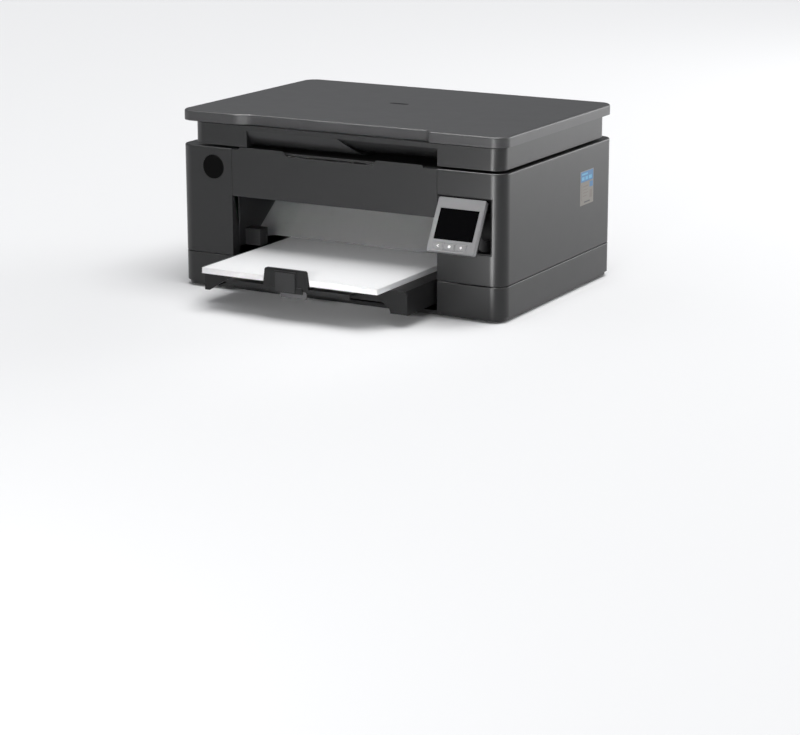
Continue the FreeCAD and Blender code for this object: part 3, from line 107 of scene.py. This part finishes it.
def make_floor():
    """A wide pale matt floor."""
    mesh = bpy.data.meshes.new("floor")
    reach = 14.0
    mesh.from_pydata([(-reach, -reach, 0), (reach, -reach, 0), (reach, reach, 0), (-reach, reach, 0)],
                     [], [(0, 1, 2, 3)])
    floor = bpy.data.objects.new("floor", mesh)
    scene.collection.objects.link(floor)
    material, _, shader = new_material("floor_pale")
    shader.inputs["Base Color"].default_value = (0.84, 0.84, 0.845, 1)
    shader.inputs["Roughness"].default_value = 0.8
    shader.inputs["Specular IOR Level"].default_value = 0.1
    mesh.materials.append(material)


def make_lights():
    """A broad soft sun from above, a key at the right rear, and two low lamps, in front and at the left.

    Two bright cards, over the front and on the floor before it, are seen only in reflections.
    A narrow beam lights the inside of the mouth.
    """
    middle = (0, 0.02, 0.1)
    data = bpy.data.lights.new("sky_sun", "SUN")
    data.energy = 2.35
    data.angle = math.radians(50)
    sun = bpy.data.objects.new("sky_sun", data)
    sun.location = (0.5, 0.0, 1.9)
    scene.collection.objects.link(sun)
    aim(sun, (0, 0, 0))
    soft_light("side_key", around(142, 2.4, 0.45), middle, size=(1.5, 0.8), watts=33)
    soft_light("front_strip", around(4, 1.5, 0.13), (0.15, 0, 0.1), size=(0.20, 0.22), watts=3.2)
    soft_light("left_strip", around(-66, 1.5, 0.25), middle, size=(0.22, 0.45), watts=1.0)
    over_card = soft_light("edge_top", around(-8, 0.8, 2.1), middle, size=(1.8, 0.45), watts=150)
    over_card.visible_diffuse = False
    x, y = 0.17, -0.80
    floor_card = soft_light("corner_card", (x, y, 0.006), (x, y, 1.0), size=(0.09, 1.1), watts=10)
    floor_card.visible_diffuse = False
    in_mouth = (-0.005, -0.02, 0.068)
    beam = soft_light("mouth_beam", around(12, 1.7, 0.42), in_mouth, size=(0.24, 0.06), watts=0.15)
    beam.data.spread = math.radians(14)
    beam.visible_glossy = False


def make_world():
    """White to the camera, and a dimmer cool grey as a source of light and reflections."""
    world = bpy.data.worlds.new("studio")
    scene.world = world
    world.use_nodes = True
    tree = world.node_tree
    background = tree.nodes["Background"]
    background.inputs["Color"].default_value = (0.95, 0.97, 1.0, 1)
    background.inputs["Strength"].default_value = 0.30
    seen = tree.nodes.new("ShaderNodeBackground")
    seen.inputs["Strength"].default_value = 1.0
    rays = tree.nodes.new("ShaderNodeLightPath")
    mix = tree.nodes.new("ShaderNodeMixShader")
    output = tree.nodes["World Output"]
    tree.links.new(rays.outputs["Is Camera Ray"], mix.inputs["Fac"])
    tree.links.new(background.outputs["Background"], mix.inputs[1])
    tree.links.new(seen.outputs["Background"], mix.inputs[2])
    tree.links.new(mix.outputs["Shader"], output.inputs["Surface"])
    scene.view_settings.view_transform = "Standard"


# ---------------------------------------------------------------- materials
def new_material(name):
    """A material with its node tree and its main shader."""
    material = bpy.data.materials.new(name)
    material.use_nodes = True
    tree = material.node_tree
    return material, tree, tree.nodes["Principled BSDF"]


def coordinates(tree, stretch=(1, 1, 1)):
    """Object coordinates, in metres, stretched per axis."""
    place = tree.nodes.new("ShaderNodeTexCoord")
    mapping = tree.nodes.new("ShaderNodeMapping")
    mapping.inputs["Scale"].default_value = stretch
    tree.links.new(place.outputs["Object"], mapping.inputs["Vector"])
    return mapping.outputs["Vector"]


def noise(tree, vector, scale, detail=2.0, rough=0.5):
    """Soft noise from 0 to 1, scale being roughly its lumps per metre."""
    node = tree.nodes.new("ShaderNodeTexNoise")
    node.inputs["Scale"].default_value = scale
    node.inputs["Detail"].default_value = detail
    node.inputs["Roughness"].default_value = rough
    tree.links.new(vector, node.inputs["Vector"])
    return node.outputs["Fac"]


def span(tree, noise_value, low, high):
    """Spreads the middle of a noise over the range from low to high."""
    node = tree.nodes.new("ShaderNodeMapRange")
    node.inputs["From Min"].default_value = 0.3
    node.inputs["From Max"].default_value = 0.7
    node.inputs["To Min"].default_value = low
    node.inputs["To Max"].default_value = high
    tree.links.new(noise_value, node.inputs["Value"])
    return node.outputs["Result"]


def bump(tree, shader, height, strength, distance):
    """Gives a shader fine relief, distance being its depth in metres."""
    node = tree.nodes.new("ShaderNodeBump")
    node.inputs["Strength"].default_value = strength
    node.inputs["Distance"].default_value = distance
    tree.links.new(height, node.inputs["Height"])
    tree.links.new(node.outputs["Normal"], shader.inputs["Normal"])


def scaled(colour, factor):
    """A colour made lighter or darker."""
    return tuple(min(1.0, c * factor) for c in colour)


def vary_colour(tree, shader, colour, noise_value, darker, lighter):
    """Lets a shader's colour drift with a noise, between two shades of itself."""
    mix = tree.nodes.new("ShaderNodeMix")
    mix.data_type = "RGBA"
    mix.inputs[6].default_value = (*scaled(colour, darker), 1)       # colour A
    mix.inputs[7].default_value = (*scaled(colour, lighter), 1)      # colour B
    tree.links.new(span(tree, noise_value, 0, 1), mix.inputs[0])
    tree.links.new(mix.outputs[2], shader.inputs["Base Color"])


def plastic(name, colour, rough=0.4, grain=1400, relief=0.12, specular=0.5):
    """Moulded plastic: spark-eroded grain, slow shade variation and handling marks in the gloss."""
    material, tree, shader = new_material(name)
    where = coordinates(tree)
    vary_colour(tree, shader, colour, noise(tree, where, 9, 3), 0.98, 1.02)
    smear = noise(tree, where, 38, 4, 0.6)
    tree.links.new(span(tree, smear, rough - 0.012, rough + 0.016), shader.inputs["Roughness"])
    shader.inputs["Specular IOR Level"].default_value = specular
    bump(tree, shader, noise(tree, where, grain, 2, 0.6), relief, 0.00012)
    return material


def metal(name, colour, rough=0.3, stretch=(1, 1, 40), relief=0.05, grain=300):
    """Metal with fine drawn lines or a faint spangle."""
    material, tree, shader = new_material(name)
    shader.inputs["Metallic"].default_value = 1.0
    where = coordinates(tree, stretch)
    streak = noise(tree, where, grain, 3, 0.6)
    vary_colour(tree, shader, colour, streak, 0.85, 1.05)
    tree.links.new(span(tree, streak, rough - 0.07, rough + 0.08), shader.inputs["Roughness"])
    bump(tree, shader, streak, relief, 0.00005)
    return material


def rubber(name, colour, rough=0.72):
    """Matt rubber with a close grain."""
    return plastic(name, colour, rough, 2200, 0.3, 0.25)


def paper_material(name, colour):
    """Uncoated office paper: fibre mottle and a fine tooth."""
    material, tree, shader = new_material(name)
    where = coordinates(tree)
    mottle = noise(tree, where, 420, 4, 0.65)
    vary_colour(tree, shader, colour, mottle, 0.985, 1.01)
    tree.links.new(span(tree, mottle, 0.78, 0.9), shader.inputs["Roughness"])
    shader.inputs["Specular IOR Level"].default_value = 0.2
    bump(tree, shader, noise(tree, where, 2600, 3), 0.12, 0.00006)
    return material


def glass_material(name, tint):
    """Clear glass as a thin smooth film with a faint tint, which bends no light."""
    material, tree, shader = new_material(name)
    shader.inputs["Base Color"].default_value = (*tint, 1)
    shader.inputs["Alpha"].default_value = 0.10
    shader.inputs["IOR"].default_value = 1.5
    where = coordinates(tree)
    tree.links.new(span(tree, noise(tree, where, 30, 3), 0.0, 0.004), shader.inputs["Roughness"])
    return material


def felt_material(name, colour):
    """Felt: tangled fibres with a soft sheen."""
    material, tree, shader = new_material(name)
    where = coordinates(tree)
    fibre = noise(tree, where, 900, 5, 0.7)
    vary_colour(tree, shader, colour, fibre, 0.8, 1.05)
    shader.inputs["Roughness"].default_value = 0.95
    shader.inputs["Sheen Weight"].default_value = 0.3
    bump(tree, shader, fibre, 0.7, 0.0006)
    return material


def board_material(name, colour):
    """Solder mask with faint copper runs under it."""
    material, tree, shader = new_material(name)
    where = coordinates(tree)
    brick = tree.nodes.new("ShaderNodeTexBrick")
    brick.inputs["Scale"].default_value = 90
    brick.inputs["Mortar Size"].default_value = 0.012
    brick.inputs["Color1"].default_value = (*colour, 1)
    brick.inputs["Color2"].default_value = (*scaled(colour, 1.25), 1)
    brick.inputs["Mortar"].default_value = (*scaled(colour, 2.2), 1)
    turned = tree.nodes.new("ShaderNodeVectorRotate")
    turned.inputs["Axis"].default_value = (0, 1, 0)
    turned.inputs["Angle"].default_value = math.radians(90)
    tree.links.new(where, turned.inputs["Vector"])
    tree.links.new(turned.outputs["Vector"], brick.inputs["Vector"])
    tree.links.new(brick.outputs["Color"], shader.inputs["Base Color"])
    tree.links.new(span(tree, noise(tree, where, 200), 0.3, 0.42), shader.inputs["Roughness"])
    bump(tree, shader, brick.outputs["Fac"], 0.3, 0.00005)
    return material


# By material slot. The numbers after a plastic's colour are its roughness, grain, relief and specular, and
# after a metal's its roughness, stretch, relief and grain.
MATERIALS = {
    # case_grey is far darker than lid_grey, though the case and lid are one dark grey plastic: the case's
    # darker colour is painted shade for its front faces.
    "case_grey": plastic("case_grey", (0.0135, 0.0135, 0.0139), 0.36, 1500, 0.012, 0.38),
    "lid_grey": plastic("lid_grey", (0.050, 0.050, 0.0515), 0.42, 1500, 0.015, 0.34),
    "badge_black": plastic("badge_black", (0.0015, 0.0015, 0.0015), 0.3, 2500, 0.02, 0.05),
    "label": paper_material("label", (0.22, 0.21, 0.195)),
    "liner_black": plastic("liner_black", (0.010, 0.010, 0.0105), 0.45, 1200, 0.02, 0.2),
    # ramp_grey is a mid grey where the object has the case's dark plastic: painted light, for the light
    # that falls into the mouth onto the ramp.
    "ramp_grey": plastic("ramp_grey", (0.22, 0.22, 0.224), 0.45, 1500, 0.02, 0.3),
    "inner_black": plastic("inner_black", (0.014, 0.014, 0.015), 0.5, 1100, 0.16),
    "frame_black": plastic("frame_black", (0.016, 0.016, 0.017), 0.42, 1500, 0.16),
    "tray_black": plastic("tray_black", (0.008, 0.008, 0.0083), 0.36, 1300, 0.02, 0.26),
    "panel_grey": plastic("panel_grey", (0.20, 0.20, 0.203), 0.38, 1800, 0.02, 0.35),
    "key_grey": plastic("key_grey", (0.22, 0.22, 0.223), 0.36, 1800, 0.02, 0.35),
    "screen_black": plastic("screen_black", (0.001, 0.001, 0.0012), 0.14, 60, 0.0, 0.06),
    "zinc_steel": metal("zinc_steel", (0.60, 0.61, 0.60), 0.38, (6, 1, 1), 0.05, 220),
    "polished_steel": metal("polished_steel", (0.72, 0.72, 0.73), 0.18, (1, 40, 40), 0.02, 120),
    "screw_steel": metal("screw_steel", (0.25, 0.25, 0.26), 0.35),
    "star_steel": metal("star_steel", (0.62, 0.62, 0.64), 0.25),
    "belt_rubber": rubber("belt_rubber", (0.02, 0.02, 0.02)),
    "foot_rubber": rubber("foot_rubber", (0.02, 0.02, 0.02)),
    "roller_rubber": rubber("roller_rubber", (0.045, 0.045, 0.05), 0.65),
    "pick_rubber": rubber("pick_rubber", (0.16, 0.16, 0.17), 0.7),
    "cap_rubber": rubber("cap_rubber", (0.06, 0.06, 0.065), 0.65),
    "feed_grit": metal("feed_grit", (0.42, 0.42, 0.43), 0.5, (1, 1, 1), 0.4, 2600),
    "brass": metal("brass", (0.78, 0.58, 0.28), 0.25),
    "gear_white": plastic("gear_white", (0.72, 0.71, 0.66), 0.4, 900, 0.06),
    "felt": felt_material("felt", (0.85, 0.84, 0.80)),
    "board_green": board_material("board_green", (0.012, 0.10, 0.04)),
    "socket_black": plastic("socket_black", (0.012, 0.012, 0.012), 0.4, 1200, 0.08),
    "scan_glass": glass_material("scan_glass", (0.30, 0.36, 0.35)),
    "pad_white": plastic("pad_white", (0.80, 0.80, 0.78), 0.5, 1500, 0.06),
    "cartridge_black": plastic("cartridge_black", (0.015, 0.015, 0.016), 0.3, 900, 0.05),
    "paper": paper_material("paper", (0.80, 0.80, 0.805)),
}


# Edge radii in millimetres, for the nodes that don't have the usual one.
USUAL_EDGE = 0.35
EDGE_RADIUS = {"front_door": 0.7, "lid_cover": 0.6, "paper_stop": 0.6,
               "base_case": 0.5, "body_shell": 0.5, "scanner_base": 0.5, "tray_bin": 0.5,
               "exit_ramp": 0.3, "panel_bezel": 0.3, "scanner_glass": 0.2, "panel_screen": 0.15,
               "idler_gear": 0.12, "feed_roller": 0.12, "exit_roller": 0.12, "motor_pinion": 0.1,
               "guide_pinion": 0.08, "scan_pinion": 0.08, "star_wheels": 0.05, "side_label": 0.02}


def soften_edges(piece, radius):
    """Rounds a piece's sharp edges, by a radius in millimetres."""
    bevel = piece.modifiers.new("edge_radius", "BEVEL")
    bevel.width = radius * MM
    bevel.segments = 2
    bevel.limit_method = "ANGLE"
    bevel.angle_limit = math.radians(40)
    return bevel


def round_edges(obj, radius):
    """Closes a CAD mesh's seams, rounds its edges and shades it smoothly between them."""
    weld = obj.modifiers.new("weld", "WELD")
    weld.merge_threshold = 1e-6
    bevel = soften_edges(obj, radius)
    bevel.use_clamp_overlap = True
    bevel.miter_outer = "MITER_ARC"
    normals = obj.modifiers.new("normals", "WEIGHTED_NORMAL")
    normals.keep_sharp = False
    obj.data.polygons.foreach_set("use_smooth", [True] * len(obj.data.polygons))


def dress_cad():
    """Gives every CAD node its material and its rounded edges."""
    slot_of = {row["node"]: row["material_slot"] for row in record["subparts"]}
    for name, obj in nodes.items():
        obj.data.materials.clear()
        obj.data.materials.append(MATERIALS[slot_of[name]])
        round_edges(obj, EDGE_RADIUS.get(name, USUAL_EDGE))


# ---------------------------------------------------------------- detail pieces
def mesh_object(name, bm, materials, body):
    """Turns a bmesh into a piece that rides on a body, with the materials it is given."""
    bmesh.ops.recalc_face_normals(bm, faces=bm.faces)
    mesh = bpy.data.meshes.new(name)
    bm.to_mesh(mesh)
    bm.free()
    for material in materials:
        mesh.materials.append(material)
    piece = bpy.data.objects.new(name, mesh)
    scene.collection.objects.link(piece)
    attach(piece, body)
    return piece


def add_block(bm, low, high):
    """Adds one closed box between two corners, in metres."""
    corners = [bm.verts.new((x, y, z)) for x in (low[0], high[0]) for y in (low[1], high[1])
               for z in (low[2], high[2])]
    for loop in ((0, 1, 3, 2), (4, 6, 7, 5), (0, 4, 5, 1), (2, 3, 7, 6), (0, 2, 6, 4), (1, 5, 7, 3)):
        bm.faces.new([corners[i] for i in loop])


def add_plate(bm, outline, depth, place, material_index=0):
    """Adds a prism: outline is (u, v) points, and place(u, v, w) gives the point, w from 0 to depth."""
    front = [bm.verts.new(place(u, v, 0.0)) for u, v in outline]
    back = [bm.verts.new(place(u, v, depth)) for u, v in outline]
    bm.faces.new(front).material_index = material_index
    bm.faces.new(list(reversed(back))).material_index = material_index
    count = len(outline)
    for i in range(count):
        j = (i + 1) % count
        bm.faces.new([front[j], front[i], back[i], back[j]]).material_index = material_index


def rectangle(u0, u1, v0, v1):
    """The corners of a rectangle, in order."""
    return [(u0, v0), (u1, v0), (u1, v1), (u0, v1)]


def ring_points(radius, count):
    """Points round a circle about the origin."""
    angles = [2 * math.pi * k / count for k in range(count)]
    return [(radius * math.cos(a), radius * math.sin(a)) for a in angles]


def rounded_outline(u0, u1, v0, v1, radius, steps=5):
    """The points of a rectangle with round corners."""
    points = []
    for cu, cv, start in ((u1 - radius, v1 - radius, 0), (u0 + radius, v1 - radius, 90),
                          (u0 + radius, v0 + radius, 180), (u1 - radius, v0 + radius, 270)):
        for k in range(steps + 1):
            a = math.radians(start + 90 * k / steps)
            points.append((cu + radius * math.cos(a), cv + radius * math.sin(a)))
    return points


SHEETS = 30
SHEET_SLIP = (0.28, 0.30)      # millimetres out of line at most, across and along
SHEET_FILL = 0.86              # a sheet's share of its pitch; the rest is the gap over it


def make_paper():
    """Loose A4 sheets, squared up by hand, in place of the solid stack."""
    low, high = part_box("paper_stack")
    rng = random.Random(7)
    across, along = SHEET_SLIP
    pitch = (high.z - low.z) / SHEETS
    bm = bmesh.new()
    for i in range(SHEETS):
        slip_x = rng.uniform(-across, across) * MM
        slip_y = rng.uniform(-along, along) * MM
        bottom = low.z + i * pitch
        top = bottom + SHEET_FILL * pitch
        add_block(bm, (low.x + slip_x, low.y + slip_y, bottom), (high.x + slip_x, high.y + slip_y, top))
    piece = mesh_object("paper_sheets", bm, [MATERIALS["paper"]], "paper_tray")
    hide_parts("paper_stack")


FILM = 0.02 * MM               # a colour field's thickness, and its lift off the sticker
BLUE, PALE, INK, WARM = 1, 2, 3, 4
# Each field's left, right, bottom and top, as shares of the sticker's width and height, and its colour.
STICKER_FIELDS = [(0.03, 0.97, 0.68, 0.98, BLUE), (0.70, 0.96, 0.48, 0.64, BLUE),
                  (0.12, 0.55, 0.88, 0.93, PALE), (0.12, 0.30, 0.73, 0.83, PALE),
                  (0.38, 0.56, 0.73, 0.83, PALE), (0.64, 0.86, 0.73, 0.83, PALE),
                  (0.30, 0.74, 0.06, 0.10, INK), (0.08, 0.14, 0.14, 0.62, WARM),
                  (0.20, 0.60, 0.52, 0.56, WARM), (0.20, 0.54, 0.43, 0.46, WARM),
                  (0.20, 0.60, 0.34, 0.37, WARM), (0.20, 0.50, 0.25, 0.28, WARM),
                  (0.70, 0.92, 0.16, 0.40, WARM)]


def make_sticker():
    """Information sticker with plain colour fields and no lettering, in place of the plain one."""
    low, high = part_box("side_label")
    wide, tall = high.y - low.y, high.z - low.z

    def from_face(x):
        return lambda u, v, w: (x + w, low.y + u * wide, low.z + v * tall)

    colours = [MATERIALS["label"],
               plastic("label_blue", (0.002, 0.10, 0.24), 0.35, 900, 0.02),
               plastic("label_pale", (0.05, 0.26, 0.42), 0.4, 900, 0.02),
               plastic("label_ink", (0.02, 0.02, 0.022), 0.4, 900, 0.02),
               plastic("label_warm", (0.12, 0.10, 0.085), 0.4, 900, 0.02)]
    bm = bmesh.new()
    add_plate(bm, rectangle(0, 1, 0, 1), high.x - low.x, from_face(low.x))
    for u0, u1, v0, v1, colour in STICKER_FIELDS:
        thick = 2 * FILM if colour == PALE else FILM
        add_plate(bm, rectangle(u0, u1, v0, v1), thick, from_face(high.x + FILM), colour)
    piece = mesh_object("information_sticker", bm, colours, "printer_case")
    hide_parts("side_label")


PANEL_TILT = math.radians(29.0)
PANEL_ORIGIN = (149.6 * MM, -89.0 * MM, 127.8 * MM)      # middle of the panel's top front edge
KEY_PLACES = {"key_left": -15.0 * MM, "key_middle": -1.8 * MM, "key_right": 11.4 * MM}
KEY_HEIGHT = -52.2 * MM                                  # down the panel's face from its top edge
MARK_REACH = 1.55 * MM
MARK_LIFT, MARK_THICK = -0.62 * MM, 0.2 * MM


def on_panel(u, v, w):
    """A point on the tilted panel: u across, v up its face, w into it."""
    x, y, z = PANEL_ORIGIN
    c, s = math.cos(PANEL_TILT), math.sin(PANEL_TILT)
    return (x + u, y + w * c + v * s, z - w * s + v * c)


def make_key_marks():
    """Pale symbols on the three keys: an arrowhead, a dot and a diamond."""
    r = MARK_REACH
    outlines = {"key_left": [(-r, 0), (0.55 * r, -r), (r, -0.62 * r), (-0.1 * r, 0), (r, 0.62 * r),
                             (0.55 * r, r)],
                "key_middle": ring_points(r, 28),
                "key_right": [(-r, 0), (0, -r), (r, 0), (0, r)]}
    ink = plastic("key_mark", (0.75, 0.75, 0.76), 0.45, 900, 0.02)
    for name, across in KEY_PLACES.items():
        bm = bmesh.new()
        add_plate(bm, outlines[name], MARK_THICK,
                  lambda u, v, w: on_panel(across + u, KEY_HEIGHT + v, MARK_LIFT + w))
        mesh_object(name + "_mark", bm, [ink], name)


LID_MARK_PLACE = (-8.0 * MM, 61.0 * MM, 193.18 * MM)     # middle of its foot, just over the recess's floor
LID_MARK_HALF = (11.3 * MM, 3.3 * MM)


def make_lid_mark():
    """Dark inlay in the lid's shallow recess, with no lettering."""
    x, y, z = LID_MARK_PLACE
    half_wide, half_deep = LID_MARK_HALF
    bm = bmesh.new()
    outline = rounded_outline(-half_wide, half_wide, -half_deep, half_deep, 3.25 * MM, 8)
    add_plate(bm, outline, 0.25 * MM, lambda u, v, w: (x + u, y + v, z + w))
    dark = plastic("mark_dark", (0.006, 0.006, 0.0065), 0.5, 900, 0.02, 0.1)
    mesh_object("lid_mark_inlay", bm, [dark], "scanner_lid")


GRIP_HALF = 11.6 * MM                                    # half the grip plate's width
GRIP_MARGINS = (1.4 * MM, 3.6 * MM)                      # from the stop's foot and from its top
GRIP_PROUD = 0.3 * MM
TAB_SPAN = (-13.0 * MM, 18.0 * MM, 25.2 * MM, 33.4 * MM)  # left, right, bottom and top
TAB_FACE = -180.3 * MM


def make_grip_plate():
    """Raised plate on the paper stop, where a finger pushes it."""
    low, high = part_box("paper_stop")
    middle = (low.x + high.x) / 2
    grey = plastic("grip_grey", (0.019, 0.019, 0.0195), 0.36, 1300, 0.05, 0.3)
    outline = rounded_outline(middle - GRIP_HALF, middle + GRIP_HALF, low.z + GRIP_MARGINS[0],
                              high.z - GRIP_MARGINS[1], 1.2 * MM)
    bm = bmesh.new()
    add_plate(bm, outline, 0.4 * MM, lambda u, v, w: (u, low.y - GRIP_PROUD + w, v))
    plate = mesh_object("stop_grip_plate", bm, [grey], "tray_extension")
    soften_edges(plate, 0.12)


def make_latch_tab():
    """Tab of the tray extension's latch, under the paper stop."""
    grey = plastic("tab_grey", (0.075, 0.075, 0.077), 0.4, 1300, 0.05, 0.3)
    bm = bmesh.new()
    add_plate(bm, rounded_outline(*TAB_SPAN, 1.4 * MM), 1.5 * MM, lambda u, v, w: (u, TAB_FACE + w, v))
    tab = mesh_object("extension_latch_tab", bm, [grey], "tray_extension")
    soften_edges(tab, 0.3)


# The rear USB socket: each span is left, right, bottom and top, seen from the front.
USB_RIM = (-184.4 * MM, -171.5 * MM, 55.4 * MM, 67.6 * MM)
USB_MOUTH = (-182.8 * MM, -173.0 * MM, 56.8 * MM, 66.2 * MM)
USB_TONGUE = (-180.72 * MM, -175.08 * MM, 59.48 * MM, 63.52 * MM)
USB_FACE, USB_FLOOR, USB_TONGUE_END = 182.2 * MM, 172.2 * MM, 180.62 * MM     # how far back each lies
SHELL_THICK = 0.12 * MM


def frame_round(outer, inner):
    """The four rectangles that lie between an outer and an inner span."""
    left, right, bottom, top = inner
    return [(outer[0], left, outer[2], outer[3]), (right, outer[1], outer[2], outer[3]),
            (left, right, outer[2], bottom), (left, right, top, outer[3])]


def make_usb_shell():
    """Pressed steel shell round the rear USB socket: a flat rim and the lining of its mouth."""
    left, right, bottom, top = USB_MOUTH
    thick = SHELL_THICK
    bm = bmesh.new()
    for x0, x1, z0, z1 in frame_round(USB_RIM, USB_MOUTH):
        add_block(bm, (x0, USB_FACE, z0), (x1, USB_FACE + thick, z1))
    lining = [(left, left + thick, bottom, top), (right - thick, right, bottom, top),
              (left, right, bottom, bottom + thick), (left, right, top - thick, top)]
    for x0, x1, z0, z1 in lining:
        add_block(bm, (x0, USB_FLOOR, z0), (x1, USB_FACE, z1))
    mesh_object("usb_shell", bm, [MATERIALS["zinc_steel"]], "printer_case")


def make_usb_tongue():
    """Black plastic in the USB socket: the floor of its mouth and the contact tongue."""
    bm = bmesh.new()
    for (x0, x1, z0, z1), y0, y1 in ((USB_MOUTH, USB_FLOOR - SHELL_THICK, USB_FLOOR),
                                     (USB_TONGUE, USB_FLOOR, USB_TONGUE_END)):
        add_block(bm, (x0, y0, z0), (x1, y1, z1))
    mesh_object("usb_tongue_cover", bm, [MATERIALS["socket_black"]], "printer_case")


make_camera()
make_floor()
make_lights()
make_world()
dress_cad()
make_paper()
make_sticker()
make_key_marks()
make_lid_mark()
make_grip_plate()
make_latch_tab()
make_usb_shell()
make_usb_tongue()
